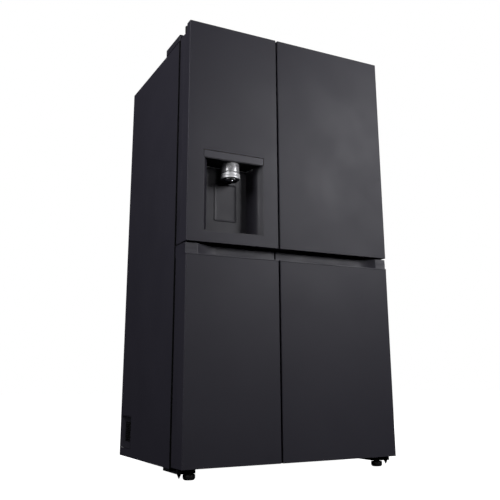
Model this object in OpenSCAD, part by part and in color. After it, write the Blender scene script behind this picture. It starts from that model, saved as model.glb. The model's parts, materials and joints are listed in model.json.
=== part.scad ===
// Four-door refrigerator: two columns of unequal width, an ice and water dispenser in the
// upper-left door, and pocket handles along the top of the two lower doors.
// +X is to the right, +Y is to the back, +Z is up. The origin is on the floor, under the middle.

/* [Cabinet] */
// Width over the cabinet sides
body_w = 912; // [905:1:920]
// Depth from the door fronts to the back
body_d = 735; // [730:1:760]
// Height of the door tops above the floor
body_h = 1740; // [1735:1:1760]
// Height of the cabinet's underside above the floor
cabinet_clear = 33; // [33:1:34]
// Thickness of the painted sheet
sheet = 1.2; // [0.8:0.1:1.5]
// Thickness of the insulated side walls
wall = 45; // [42:1:48]

/* [Doors] */
// Place of the slot between the two columns, from the middle
split_x = -63; // [-66:1:-60]
// Width of the slot between the two columns
door_gap = 7; // [6:0.5:9]
// Height of the slot between the upper and lower doors
row_gap = 5; // [5:0.5:6]
// Underside of the lower doors above the floor
door_z = 40; // [40:1:41]
// Underside of the upper doors above the floor
upper_z = 838; // [836:1:840]
// Thickness of the doors without the seal
door_t = 108; // [106:1:110]
// Depth of the painted front part of a door
skin_d = 62; // [60:1:64]
// Radius of the doors' vertical front edges
door_r = 3; // [2:0.5:4]

/* [Hinges] */
// Distance of the hinge axis from the side of the cabinet
hinge_in = 12; // [11:0.5:13]
// Depth of the hinge axis behind the door fronts
hinge_d = 54.6; // [52:0.2:57]
// Radius of the hinge pins
pin_r = 4; // [3.5:0.5:4.5]
// Radial clearance of the running fits
run_fit = 0.05; // [0.03:0.01:0.08]

/* [Dispenser] */
// Left edge of the dispenser
disp_x0 = -390; // [-392:1:-388]
// Right edge of the dispenser
disp_x1 = -129.5; // [-131:0.5:-128]
// Underside of the dispenser
disp_z0 = 878.5; // [876:0.5:882]
// Top of the recess, where the control strip starts
disp_z1 = 1170.5; // [1166:0.5:1173]
// Height of the control strip
strip_h = 31.5; // [30:0.5:33]
// Depth of the recess
disp_d = 85; // [82:1:86]
// Width of the paddle
paddle_w = 96; // [90:1:98]

/* [Feet] */
// Radius of the front feet
foot_r = 22; // [20:1:23]
// Distance of the front feet from the middle
foot_x = 404; // [400:1:406]
// Radius of the rear rollers
roller_r = 14; // [13:0.5:14]

/* [Hidden] */

$fn = 64;
cut = 1;                       // how far a cutting solid runs past the face it opens
side = body_w / 2;
front = -body_d / 2;
rear = body_d / 2;
function at(depth) = front + depth;

// Cabinet
cabinet_d = door_t + 10;       // the seals fill the last 10 mm behind the doors
cabinet_top = body_h - 41;
frame_t = 3;
liner_t = 2.5;
inner_side = side - sheet;
frame_back = at(cabinet_d) + frame_t;
machine_y = rear - 250;
machine_top = cabinet_clear + 257;
cover_y = rear - 27.5;
cover_t = 2.5;

// Compartments: freezer in the left column, fresh food in the right one
partition = 60;
freezer_x = [-side + wall, split_x - partition / 2];
fridge_x = [split_x + partition / 2, side - wall];
upper_room = [upper_z + 38, cabinet_top - 50];
lower_room = [cabinet_clear + 50, upper_z - 42];
room_back = rear - 60.5;
step_y = machine_y - 57.5;
step_z = machine_top + 55;
shelf_front = at(232);
shelf_t = 5;
drawer_front = at(227.5);
drawer_wall = 3;
flange_w = 10;
upper_drawer_z = [355, 560];
lower_drawer_z = [88, 335];

// Doors: [left edge, right edge, underside, top, hinge side]
lower_top = upper_z - row_gap;
upper_left = [-side, split_x - door_gap / 2, upper_z, body_h, -1];
upper_right = [split_x + door_gap / 2, side, upper_z, body_h, 1];
lower_left = [-side, split_x - door_gap / 2, door_z, lower_top, -1];
lower_right = [split_x + door_gap / 2, side, door_z, lower_top, 1];
hinge_x = side - hinge_in;
hinge_y = at(hinge_d);
bore_r = pin_r + run_fit;
cap_h = 22;                    // how far the frame's ends reach into a door
top_cap_z = body_h - 36;       // the door's rear part ends here, under the top cap
notch_w = 62;
notch_d = 34;
handle_z = lower_top - 46;     // the lower doors' skins end here, under the pocket handle
lip_h = 5.5;
pocket_d = 38;
pocket_drop = 15;
pocket_start = 136;            // the pocket is at full depth this far from the hinge side
pocket_end = 80;                // and the pocket's floor drops as far as this from the free side
dyke_in = 12;
dyke_d = door_t + 22;
rim = 8;                       // width of the frame round a door's liner
seal_in = 14;
seal_w = 14;
seal_t = 9.5;

// Bins behind the upper doors
bin_d = 85;
bin_h = 92;
bin_wall = 2.5;
left_bin_x = [-390, -130];
right_bin_x = [-3, 395];

// Dispenser
disp_x = (disp_x0 + disp_x1) / 2;
disp_back = disp_d + 3;
recess_floor = disp_z0 + 5.5;
recess_top = disp_z1 - 1.5;
nozzle_d = 38;
nozzle_z = 1105;
chute_r = 30;
chute_bore = 25;
chute_rear_d = 50;
chute_rear_r = 34;
duct_r = 24;
duct_z = 1240;
tray_h = 4;                     // height of the drip tray
paddle_top = 1098;
paddle_bottom = 945;
paddle_d = 83;
paddle_t = 4;
paddle_pin_r = 3;
paddle_pin_d = 89.5;
paddle_pin_z = 1092;
paddle_gap = 1.2;              // gap round the paddle, in the nook of the back wall
nook_d = 98.5;                  // depth of the nook's back
nook_wall = 8;                 // wall beside the nook, which holds the paddle's pin
nook_back = 2.5;
paddle_pin_end = 6;            // how far each end of the pin reaches into that wall

// Side vents
vent_y = [at(588), at(720)];
vent_z = [66, 197];
grille_y = [at(618), at(697)];
grille_z = [90, 171];
vent_t = 14;
slat_pitch = 8.1;

// Fans, in the machine room and behind the freezer
fan_shaft_r = 2.5;
condenser_fan_at = [40, 230, 160];
evaporator_fan_at = [(freezer_x[0] + freezer_x[1]) / 2, room_back - 45, 1200];

// Colours
body_black = [0.13, 0.13, 0.14];
liner_white = [0.92, 0.93, 0.94];
foam_yellow = [0.93, 0.87, 0.66];
seal_grey = [0.35, 0.35, 0.36];

// A box between two opposite corners
module block(low, high) {
    translate(low) cube(high - low);
}

// The same shape on the left and on the right
module both_sides() {
    children();
    mirror([1, 0, 0]) children();
}

// A box whose two vertical front edges are rounded
module rounded_front(x0, x1, depth, z0, z1, r) {
    translate([0, 0, z0])
        linear_extrude(z1 - z0) {
            translate([x0 + r, front]) square([x1 - x0 - 2 * r, depth]);
            translate([x0, front + r]) square([x1 - x0, depth - r]);
            translate([x0 + r, front + r]) circle(r);
            translate([x1 - r, front + r]) circle(r);
        }
}

// A flat plate with four rounded corners, standing in the XZ plane
module rounded_plate(x0, x1, y, thickness, z0, z1, r) {
    translate([0, y + thickness, 0])
        rotate([90, 0, 0])
            linear_extrude(thickness) {
                translate([x0 + r, z0]) square([x1 - x0 - 2 * r, z1 - z0]);
                translate([x0, z0 + r]) square([x1 - x0, z1 - z0 - 2 * r]);
                for (x = [x0 + r, x1 - r], z = [z0 + r, z1 - r])
                    translate([x, z]) circle(r);
            }
}

// An open-topped box with walls of one thickness
module open_box(low, high, t) {
    difference() {
        block(low, high);
        block(low + [t, t, t], [high[0] - t, high[1] - t, high[2] + cut]);
    }
}

// The hollow of an upper compartment, enlarged all round by grow
module upper_hollow(x, grow) {
    block([x[0] - grow, frame_back, upper_room[0] - grow],
          [x[1] + grow, room_back + grow, upper_room[1] + grow]);
}

// The hollow of a lower compartment, with the step over the machine room
module lower_hollow(x, grow) {
    block([x[0] - grow, frame_back, lower_room[0] - grow],
          [x[1] + grow, step_y + grow, lower_room[1] + grow]);
    block([x[0] - grow, frame_back, step_z - grow],
          [x[1] + grow, room_back + grow, lower_room[1] + grow]);
}

module open_to_front(x, z) {
    block([x[0], at(cabinet_d) - cut, z[0]], [x[1], frame_back + cut, z[1]]);
}

module cabinet_shell() {
    color(body_black)
        difference() {
            block([-side, at(cabinet_d), cabinet_clear], [side, rear, cabinet_top]);
            block([-inner_side, at(cabinet_d) - cut, cabinet_clear + sheet],
                  [inner_side, rear + cut, cabinet_top - sheet]);
            block([-inner_side, machine_y, cabinet_clear - cut],
                  [inner_side, rear + cut, cabinet_clear + sheet + cut]);
            both_sides() vent_outline();
        }
}

module cabinet_insulation() {
    color(foam_yellow)
        difference() {
            block([-inner_side, frame_back, cabinet_clear + sheet],
                  [inner_side, rear - sheet, cabinet_top - sheet]);
            block([-side, machine_y, 0], [side, rear, machine_top]);
            translate([0, -cut, 0]) {
                upper_hollow(freezer_x, liner_t);
                upper_hollow(fridge_x, liner_t);
                lower_hollow(freezer_x, liner_t);
                lower_hollow(fridge_x, liner_t);
            }
            upper_hollow(freezer_x, liner_t);
            upper_hollow(fridge_x, liner_t);
            lower_hollow(freezer_x, liner_t);
            lower_hollow(fridge_x, liner_t);
        }
}

// Moulded ledges that carry a drawer's flanges
module drawer_ledges(x, z, back) {
    for (low = [x[0], x[1] - flange_w])
        block([low, drawer_front + 10, z[1] - drawer_wall - 8.3],
              [low + flange_w, back, z[1] - drawer_wall - 0.3]);
}

module column_liner(x) {
    difference() {
        upper_hollow(x, liner_t);
        translate([0, -cut, 0]) upper_hollow(x, 0);
        upper_hollow(x, 0);
    }
    difference() {
        lower_hollow(x, liner_t);
        translate([0, -cut, 0]) lower_hollow(x, 0);
        lower_hollow(x, 0);
    }
    drawer_ledges(x, upper_drawer_z, room_back);
    drawer_ledges(x, lower_drawer_z, step_y);
}

module freezer_liner() {
    color(liner_white) column_liner(freezer_x);
}

module fridge_liner() {
    color(liner_white) column_liner(fridge_x);
}

module back_panel() {
    color([0.75, 0.76, 0.78])
        block([-inner_side, rear - sheet, machine_top], [inner_side, rear, cabinet_top - sheet]);
}

// Steel front of the cabinet, where the door seals land
module front_frame() {
    color(body_black)
        difference() {
            block([-inner_side, at(cabinet_d), cabinet_clear + sheet],
                  [inner_side, frame_back, cabinet_top - sheet]);
            for (x = [freezer_x, fridge_x], z = [upper_room, lower_room])
                open_to_front(x, z);
        }
}

// Tray and bulkhead of the machine room, with the ears of the roller axle
module base_frame() {
    color([0.55, 0.56, 0.58]) {
        block([-inner_side, machine_y, cabinet_clear], [inner_side, rear - sheet, cabinet_clear + 2]);
        block([-inner_side, machine_y, cabinet_clear + 2], [inner_side, machine_y + sheet, machine_top]);
        block([-inner_side, machine_y + sheet, machine_top - sheet], [inner_side, rear - sheet, machine_top]);
        both_sides()
            difference() {
                block([352, rear - 82, 5], [358, rear - 52, cabinet_clear]);
                translate([350, rear - 67, roller_r])
                    rotate([0, 90, 0]) cylinder(r = bore_r, h = 10);
            }
    }
}

// A levelling foot: a pad with a turned edge, and its threaded stud
module foot() {
    cylinder(r1 = foot_r - 4, r2 = foot_r, h = 6);
    translate([0, 0, 6]) cylinder(r = foot_r, h = 13);
    translate([0, 0, 19]) cylinder(r = 5, h = 18);
}

module front_foot_left() {
    color([0.06, 0.06, 0.06]) translate([-foot_x, at(62), 0]) foot();
}

module front_foot_right() {
    color([0.06, 0.06, 0.06]) translate([foot_x, at(62), 0]) foot();
}

// Two rollers on one axle
module rear_rollers() {
    color([0.2, 0.2, 0.2])
        translate([0, rear - 67, roller_r])
            rotate([0, 90, 0]) {
                translate([0, 0, -360]) cylinder(r = pin_r, h = 720);
                for (x = [-345, 320])
                    translate([0, 0, x]) cylinder(r = roller_r, h = 25);
            }
}

// Hermetic compressor: a drum with two domed ends on four rubber mounts
module compressor() {
    color([0.08, 0.08, 0.08])
        translate([-180, machine_y + 108, 0]) {
            translate([0, 0, 80]) cylinder(r = 78, h = 110);
            translate([0, 0, 190])
                intersection() {
                    cylinder(r = 78, h = 45);
                    translate([0, 0, -45]) sphere(r = 90);
                }
            translate([0, 0, 50]) cylinder(r1 = 60, r2 = 78, h = 30);
            for (x = [-62, 62], y = [-62, 62])
                translate([x, y, cabinet_clear + 2]) cylinder(r = 10, h = 22);
            block([-75, -75, cabinet_clear + 12], [75, 75, cabinet_clear + 18]);
        }
}

// Condenser: rows of tube between two end plates
module condenser_coil() {
    color([0.1, 0.1, 0.1]) {
        for (y = [0:2], z = [0:5])
            translate([130, machine_y + 50 + 50 * y, 70 + 33 * z])
                rotate([0, 90, 0]) cylinder(r = 4, h = 200);
        for (x = [128, 328])
            block([x, machine_y + 30, cabinet_clear + 2], [x + 4, machine_y + 170, 250]);
    }
}

// A fan wheel on the Z axis: hub with a shaft bore and tilted blades
module fan_wheel(r, hub_r, depth, blades) {
    difference() {
        union() {
            cylinder(r = hub_r, h = depth);
            for (i = [0:blades - 1])
                rotate([0, 0, i * 360 / blades])
                    translate([hub_r - 3, 0, depth / 2])
                        rotate([30, 0, 0])
                            block([0, -r * 0.22, -0.8], [r - hub_r, r * 0.22, 0.8]);
        }
        translate([0, 0, -cut]) cylinder(r = fan_shaft_r + run_fit, h = depth + 2 * cut);
    }
}

module condenser_fan() {
    color([0.15, 0.15, 0.16])
        translate(condenser_fan_at)
            rotate([0, 90, 0]) fan_wheel(78, 22, 14, 5);
}

module evaporator_fan() {
    color([0.85, 0.85, 0.86])
        translate(evaporator_fan_at)
            rotate([-90, 0, 0]) fan_wheel(50, 16, 12, 5);
}

// Both fan motors, with their shafts and the bracket of the lower one
module fan_motors() {
    color([0.4, 0.4, 0.42]) {
        translate(condenser_fan_at)
            rotate([0, 90, 0]) {
                cylinder(r = fan_shaft_r, h = 20);
                translate([0, 0, 18]) cylinder(r = 25, h = 36);
            }
        block(condenser_fan_at + [25, -18, cabinet_clear + 2 - condenser_fan_at[2]],
              condenser_fan_at + [35, 18, -10]);
        translate(evaporator_fan_at)
            rotate([-90, 0, 0]) {
                cylinder(r = fan_shaft_r, h = 16);
                translate([0, 0, 14]) cylinder(r = 20, h = 31);
            }
    }
}

// Louvred cover of the machine room, notched round the side vents
module machine_cover() {
    color([0.3, 0.3, 0.31])
        difference() {
            block([-inner_side, cover_y, cabinet_clear + 2],
                  [inner_side, cover_y + cover_t, machine_top - sheet]);
            for (x = [-300:40:260], z = [90:22:222])
                block([x, cover_y - cut, z], [x + 30, cover_y + cover_t + cut, z + 8]);
            both_sides()
                block([side - 15, cover_y - cut, 64], [side, cover_y + cover_t + cut, 199]);
            translate([405, cover_y - cut, 105])
                rotate([-90, 0, 0]) cylinder(r = 13.5, h = cover_t + 2 * cut);
            block([-420, cover_y - cut, 90], [-388, cover_y + cover_t + cut, 114]);
        }
}

// Finned evaporator behind the freezer's air cover
module evaporator() {
    color([0.8, 0.81, 0.82])
        translate([freezer_x[0] + 24, room_back - 42, 900]) {
            for (x = [0:24:264])
                block([x, 0, 0], [x + 1.5, 34, 200]);
            for (y = [9, 25], z = [25:50:175])
                translate([-3, y, z]) rotate([0, 90, 0]) cylinder(r = 4, h = 272, $fn = 32);
        }
}

module evaporator_cover() {
    color(liner_white)
        difference() {
            block([freezer_x[0], room_back - 52, upper_room[0]], [freezer_x[1], room_back - 49, 1320]);
            translate([evaporator_fan_at[0], room_back - 52 - cut, evaporator_fan_at[2]])
                rotate([-90, 0, 0]) cylinder(r = 54, h = 3 + 2 * cut);
            for (z = [900:16:948])
                block([freezer_x[0] + 40, room_back - 52 - cut, z],
                      [freezer_x[1] - 40, room_back - 49 + cut, z + 8]);
        }
}

module vent_outline() {
    block([side - vent_t, vent_y[0], vent_z[0]], [side + cut, vent_y[1], vent_z[1]]);
}

// Dished air grille in each side, near the back
module side_vent() {
    difference() {
        block([side - vent_t, vent_y[0], vent_z[0]], [side, vent_y[1], vent_z[1]]);
        hull() {
            block([side, vent_y[0] + 3, vent_z[0] + 3], [side + cut, vent_y[1] - 3, vent_z[1] - 3]);
            block([side - vent_t + 3, grille_y[0], grille_z[0]], [side, grille_y[1], grille_z[1]]);
        }
        for (z = [grille_z[0]:slat_pitch:grille_z[1] - slat_pitch])
            block([side - vent_t - cut, grille_y[0] + 3, z + 3],
                  [side - vent_t + 4, grille_y[1] - 3, z + slat_pitch]);
    }
}

module side_vents() {
    color(body_black) both_sides() side_vent();
}

// Mains inlet: a shell with three contact blades
module power_inlet() {
    color([0.05, 0.05, 0.05]) {
        difference() {
            block([-420, cover_y - 18, 90], [-388, cover_y + 10, 114]);
            block([-417, cover_y - 14, 93], [-391, cover_y + 10 + cut, 111]);
        }
        for (x = [-412, -405, -398])
            block([x, cover_y - 14, 98], [x + 2, cover_y + 4, 104]);
    }
}

// Water inlet valve: body inside, threaded stub and its nut outside
module water_valve() {
    color([0.85, 0.85, 0.86]) {
        block([382, cover_y - 40, 82], [428, cover_y, 128]);
        translate([405, cover_y - cut, 105])
            rotate([-90, 0, 0]) cylinder(r = 13.2, h = 27);
        translate([405, cover_y + cover_t, 105])
            rotate([-90, 0, 0]) cylinder(r = 18, h = 5.5, $fn = 6);
    }
}

// Top hinge of one upper door: plate on the cabinet, arm, boss and pin
module upper_hinge() {
    block([side - 76, at(126), cabinet_top], [side - 6, at(232), cabinet_top + 4]);
    block([hinge_x - 8, at(126), cabinet_top + 4], [hinge_x + 8, at(134), cabinet_top + 7]);
    block([hinge_x - 8, hinge_y, cabinet_top + 7], [hinge_x + 8, at(134), cabinet_top + 11]);
    translate([hinge_x, hinge_y, cabinet_top + 7]) cylinder(r = 8, h = 4);
    translate([hinge_x, hinge_y, cabinet_top + 11]) cylinder(r = 11.5, h = 27);
    translate([hinge_x, hinge_y, cabinet_top - 15]) cylinder(r = pin_r, h = 23);
}

module upper_hinges() {
    color([0.2, 0.2, 0.21]) both_sides() upper_hinge();
}

// Cover over a top hinge, open below and with a slot for the arm
module hinge_cover() {
    difference() {
        block([side - 86, at(118.5), cabinet_top], [side - 1, at(283), cabinet_top + 34]);
        block([side - 83.5, at(121), cabinet_top - cut], [side - 3.5, at(280.5), cabinet_top + 31.5]);
        block([hinge_x - 9, at(110), cabinet_top - cut], [hinge_x + 9, at(125), cabinet_top + 12]);
    }
}

module hinge_covers() {
    color(body_black) both_sides() hinge_cover();
}

// Plate between an upper and a lower door, with a flange behind it and a pin up and down
module middle_hinge() {
    plate_z = lower_top + 1;
    plate_t = row_gap - 2;
    block([hinge_x - 28, at(42), plate_z], [side - 1, at(cabinet_d), plate_z + plate_t]);
    block([hinge_x - 8, at(cabinet_d) - 3, plate_z - 8], [hinge_x + 8, at(cabinet_d), plate_z + plate_t + 8]);
    translate([hinge_x, hinge_y, plate_z - 18]) cylinder(r = pin_r, h = plate_t + 36);
}

module middle_hinges() {
    color([0.2, 0.2, 0.21]) both_sides() middle_hinge();
}

// Bracket under a lower door: it carries the hinge pin and the levelling foot
module lower_hinge() {
    bracket_z = 22;
    bracket_t = 4;
    difference() {
        union() {
            block([side - 76, at(62), bracket_z], [side - 2, at(190), bracket_z + bracket_t]);
            block([foot_x - 17, at(44), bracket_z], [side - 2, at(62), bracket_z + bracket_t]);
            block([foot_x - 17, at(44), bracket_z], [side - 2, at(56), bracket_z + 15]);
            block([side - 76, at(122), bracket_z + bracket_t], [side - 2, at(190), cabinet_clear]);
            translate([hinge_x, hinge_y, 7]) cylinder(r1 = 1, r2 = 8, h = 15);
            translate([hinge_x, hinge_y, bracket_z]) cylinder(r = pin_r, h = 36);
            translate([hinge_x, hinge_y, bracket_z + bracket_t]) cylinder(r = 8, h = 12);
        }
        translate([foot_x, at(62), bracket_z - cut]) cylinder(r = 5 + run_fit, h = bracket_t + 2 * cut);
    }
}

module lower_hinges() {
    color([0.1, 0.1, 0.1]) both_sides() lower_hinge();
}

// Shelves across a compartment
module glass_shelf(x, back, z) {
    block([x[0], shelf_front, z], [x[1], back, z + shelf_t]);
}

module glass_shelves() {
    color([0.75, 0.85, 0.88, 0.5]) {
        for (z = [1070, 1260, 1450])
            glass_shelf(fridge_x, room_back, z);
        for (z = [1060, 1240])
            glass_shelf(freezer_x, room_back - 54, z);
        glass_shelf(freezer_x, room_back, 1430);
        for (x = [freezer_x, fridge_x])
            glass_shelf(x, room_back, 590);
    }
}

// A drawer with side flanges and a finger slot in its front
module drawer(x, z, back) {
    low = [x[0] + flange_w + 4, drawer_front, z[0]];
    high = [x[1] - flange_w - 4, back, z[1]];
    middle = (x[0] + x[1]) / 2;
    difference() {
        open_box(low, high, drawer_wall);
        block([middle - 60, drawer_front - cut, z[1] - 22],
              [middle + 60, drawer_front + drawer_wall + cut, z[1] + cut]);
    }
    for (edge = [[x[0] + 2, low[0]], [high[0], x[1] - 2]])
        block([edge[0], drawer_front + 10, z[1] - drawer_wall], [edge[1], back, z[1]]);
}

module crisper_upper() {
    color([0.85, 0.9, 0.92, 0.6]) drawer(fridge_x, upper_drawer_z, room_back - 10);
}

module crisper_lower() {
    color([0.85, 0.9, 0.92, 0.6]) drawer(fridge_x, lower_drawer_z, step_y - 10);
}

module freezer_drawer_upper() {
    color([0.85, 0.9, 0.92, 0.6]) drawer(freezer_x, upper_drawer_z, room_back - 10);
}

module freezer_drawer_lower() {
    color([0.85, 0.9, 0.92, 0.6]) drawer(freezer_x, lower_drawer_z, step_y - 10);
}

// Room for the hinge arm at the top of an upper door
module top_notch(door) {
    edge = door[4] * side;
    inner = edge - door[4] * notch_w;
    block([min(edge, inner) - (door[4] < 0 ? cut : 0), at(notch_d), top_cap_z],
          [max(edge, inner) + (door[4] > 0 ? cut : 0), at(door_t) + cut, body_h + cut]);
}

// The painted front of a door, folded back along both sides
module door_skin(door, top) {
    color(body_black)
        difference() {
            rounded_front(door[0], door[1], skin_d, door[2], top, door_r);
            block([door[0] + sheet, front + sheet, door[2] - cut],
                  [door[1] - sheet, at(skin_d) + cut, top + cut]);
            top_notch(door);
        }
}

function room_of(door) = door[2] == upper_z ? upper_room : lower_room;
function column_of(door) = door[4] < 0 ? freezer_x : fridge_x;
function frame_top(door) = door[2] == upper_z ? top_cap_z : handle_z;

// The bulge that stands inside the compartment when the door is shut
module door_dyke(door, grow) {
    x = column_of(door);
    z = room_of(door);
    top = min(z[1] - dyke_in, frame_top(door) - rim);
    block([x[0] + dyke_in - grow, at(door_t) - liner_t - (grow < 0 ? cut : 0), z[0] + dyke_in - grow],
          [x[1] - dyke_in + grow, at(dyke_d) + grow, top + grow]);
}

// The moulded back of a door, set into its frame
module door_liner(door) {
    color(liner_white)
        difference() {
            union() {
                block([door[0] + rim, at(door_t) - liner_t, door[2] + rim],
                      [door[1] - rim, at(door_t), frame_top(door) - rim]);
                door_dyke(door, 0);
            }
            door_dyke(door, -liner_t);
        }
}

// Foam that fills a door, between its frame, its skin and its liner
module door_insulation(door) {
    block([door[0] + sheet, front + sheet, door[2] + cap_h],
          [door[1] - sheet, at(skin_d), frame_top(door) - cap_h]);
    block([door[0] + rim, at(skin_d), door[2] + rim],
          [door[1] - rim, at(door_t) - liner_t, frame_top(door) - rim]);
    door_dyke(door, -liner_t);
}

// Magnetic seal round the back of a door
module door_gasket(door) {
    low = [door[0] + seal_in, at(door_t), door[2] + seal_in];
    high = [door[1] - seal_in, at(door_t) + seal_t, min(door[3], cabinet_top) - seal_in];
    color(seal_grey)
        difference() {
            block(low, high);
            block(low + [seal_w, -cut, seal_w], high + [-seal_w, cut, -seal_w]);
        }
}

module hinge_bore(door, z0, z1) {
    translate([door[4] * hinge_x, hinge_y, z0]) cylinder(r = bore_r, h = z1 - z0);
}

// Frame round the back of a door, with its lower cap and the bore for the pin below it
module frame_ring(door) {
    difference() {
        union() {
            block([door[0] + sheet, front + sheet, door[2]], [door[1] - sheet, at(skin_d), door[2] + cap_h]);
            block([door[0], at(skin_d), door[2]], [door[1], at(door_t), frame_top(door)]);
        }
        block([door[0] + rim, at(skin_d), door[2] + rim],
              [door[1] - rim, at(door_t) + cut, frame_top(door) - rim]);
        hinge_bore(door, door[2] - cut, door[2] + cap_h + cut);
    }
}

// Frame of an upper door; its lower cap has a finger groove along the underside
module upper_door_frame(door) {
    color(body_black)
        difference() {
            union() {
                frame_ring(door);
                block([door[0] + sheet, front + sheet, top_cap_z - cap_h],
                      [door[1] - sheet, at(skin_d), body_h]);
                block([door[0], at(skin_d), top_cap_z], [door[1], at(door_t), body_h]);
            }
            block([door[0] + 80, at(10), door[2] - cut], [door[1] - 80, at(44), door[2] + 13]);
            top_notch(door);
            hinge_bore(door, top_cap_z - cap_h - cut, top_cap_z + cut);
        }
}

// The hollow of a pocket handle, seen from above; it runs out in a ramp at the hinge side
module pocket_plan(door, depth) {
    open_x = door[4] < 0 ? door[1] : door[0];
    ramp = [[50, -cut], [50, 8], [84, 28], [110, 35.5], [pocket_start, depth]];
    polygon(concat(
        [[open_x - door[4] * cut, front - cut]],
        [for (p = ramp) [door[4] * (side - p[0]), at(p[1])]],
        [[open_x - door[4] * cut, at(depth)]]
    ));
}

// Frame of a lower door; its upper cap is the pocket handle
module lower_door_frame(door) {
    color(body_black)
        difference() {
            union() {
                frame_ring(door);
                block([door[0] + sheet, front + sheet, handle_z - cap_h],
                      [door[1] - sheet, at(skin_d), handle_z]);
                block([door[0], at(7.5), handle_z], [door[1], at(door_t), lower_top]);
                block([door[0], front, handle_z], [door[1], at(7.5), handle_z + lip_h]);
            }
            translate([0, 0, handle_z + lip_h]) linear_extrude(60) pocket_plan(door, pocket_d);
            block([door[0] + (door[4] < 0 ? pocket_start + 2 : pocket_end), at(5), handle_z - pocket_drop],
                  [door[1] - (door[4] < 0 ? pocket_end : pocket_start + 2), at(pocket_d - 2), lower_top]);
            hinge_bore(door, lower_top - 24, lower_top + cut);
        }
}

// Bins that hang on the back of a door
module door_bins(x, heights) {
    color([0.85, 0.9, 0.92, 0.6])
        for (z = heights)
            open_box([x[0], at(dyke_d), z], [x[1], at(dyke_d + bin_d), z + bin_h], bin_wall);
}

module upper_left_door_skin() {
    color(body_black)
        difference() {
            door_skin(upper_left, body_h);
            block([disp_x0, front - cut, disp_z0], [disp_x1, front + sheet + cut, disp_z1 + strip_h]);
        }
}

module upper_left_door_insulation() {
    color(foam_yellow)
        difference() {
            door_insulation(upper_left);
            block([disp_x0, front, disp_z0], [disp_x1, at(disp_back), disp_z1]);
            block([disp_x0, front, disp_z1 - cut], [disp_x1, at(8), disp_z1 + strip_h]);
            nook_shell();
            duct(duct_r, 0);
        }
}

module upper_left_door_liner() {
    color(liner_white)
        difference() {
            door_liner(upper_left);
            duct(duct_r + 1.2, cut);
        }
}

module upper_left_door_gasket() {
    door_gasket(upper_left);
}

module upper_left_door_frame() {
    upper_door_frame(upper_left);
}

module upper_left_door_bins() {
    door_bins(left_bin_x, [905, 1535]);
}

module upper_right_door_skin() {
    door_skin(upper_right, body_h);
}

module upper_right_door_insulation() {
    color(foam_yellow) door_insulation(upper_right);
}

module upper_right_door_liner() {
    door_liner(upper_right);
}

module upper_right_door_gasket() {
    door_gasket(upper_right);
}

module upper_right_door_frame() {
    upper_door_frame(upper_right);
}

module upper_right_door_bins() {
    door_bins(right_bin_x, [900, 1085, 1270, 1455]);
}

module lower_left_door_skin() {
    door_skin(lower_left, handle_z);
}

module lower_left_door_insulation() {
    color(foam_yellow) door_insulation(lower_left);
}

module lower_left_door_liner() {
    door_liner(lower_left);
}

module lower_left_door_gasket() {
    door_gasket(lower_left);
}

module lower_left_door_frame() {
    lower_door_frame(lower_left);
}

module lower_right_door_skin() {
    door_skin(lower_right, handle_z);
}

module lower_right_door_insulation() {
    color(foam_yellow) door_insulation(lower_right);
}

module lower_right_door_liner() {
    door_liner(lower_right);
}

module lower_right_door_gasket() {
    door_gasket(lower_right);
}

module lower_right_door_frame() {
    lower_door_frame(lower_right);
}

// The recess seen from above: it narrows towards the back
module recess_plan() {
    half = (disp_x1 - disp_x0) / 2;
    points = [
        [half - 4, -cut],
        [half - 4, 2],
        [half - 12, 8],
        [half - 20, 18],
        [half - 27, 35],
        [half - 37, disp_d - 4],
        [half - 41, disp_d],
    ];
    left = [for (p = points) [disp_x - p[0], at(p[1])]];
    right = [for (i = [len(points) - 1:-1:0]) [disp_x + points[i][0], at(points[i][1])]];
    polygon(concat(left, right));
}

// Outside of the nook behind the paddle
module nook_shell() {
    half = paddle_w / 2 + paddle_gap + nook_wall;
    block([disp_x - half, at(disp_d), paddle_bottom - paddle_gap - nook_back],
          [disp_x + half, at(nook_d + nook_back), paddle_top + paddle_gap + nook_back]);
}

// Dispenser recess, with the nook and the two bores for the paddle's pin in its back wall
module dispenser_housing() {
    half = paddle_w / 2 + paddle_gap;
    color(body_black)
        difference() {
            union() {
                block([disp_x0, front, disp_z0], [disp_x1, at(disp_back), disp_z1]);
                nook_shell();
            }
            translate([0, 0, recess_floor]) linear_extrude(recess_top - recess_floor) recess_plan();
            translate([disp_x, at(nozzle_d), recess_top - cut]) cylinder(r = chute_r, h = 10);
            rounded_plate(disp_x - half, disp_x + half, at(disp_d) - cut, nook_d - disp_d + cut,
                          paddle_bottom - paddle_gap, paddle_top + paddle_gap, 8);
            translate([disp_x - half - paddle_pin_end, at(paddle_pin_d), paddle_pin_z])
                rotate([0, 90, 0])
                    cylinder(r = paddle_pin_r + run_fit, h = 2 * (half + paddle_pin_end));
        }
}

module dispenser_control_strip() {
    color([0.05, 0.05, 0.06])
        block([disp_x0, front, disp_z1], [disp_x1, at(8), disp_z1 + strip_h]);
}

// Ice duct from the nozzle up to the back of the door
module duct(r, past) {
    hull() {
        translate([disp_x, at(nozzle_d), disp_z1 - past]) cylinder(r = r, h = 1, $fn = 32);
        translate([disp_x, at(dyke_d) - 1 + past, duct_z])
            rotate([-90, 0, 0]) cylinder(r = r, h = 1, $fn = 32);
    }
}

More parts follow.
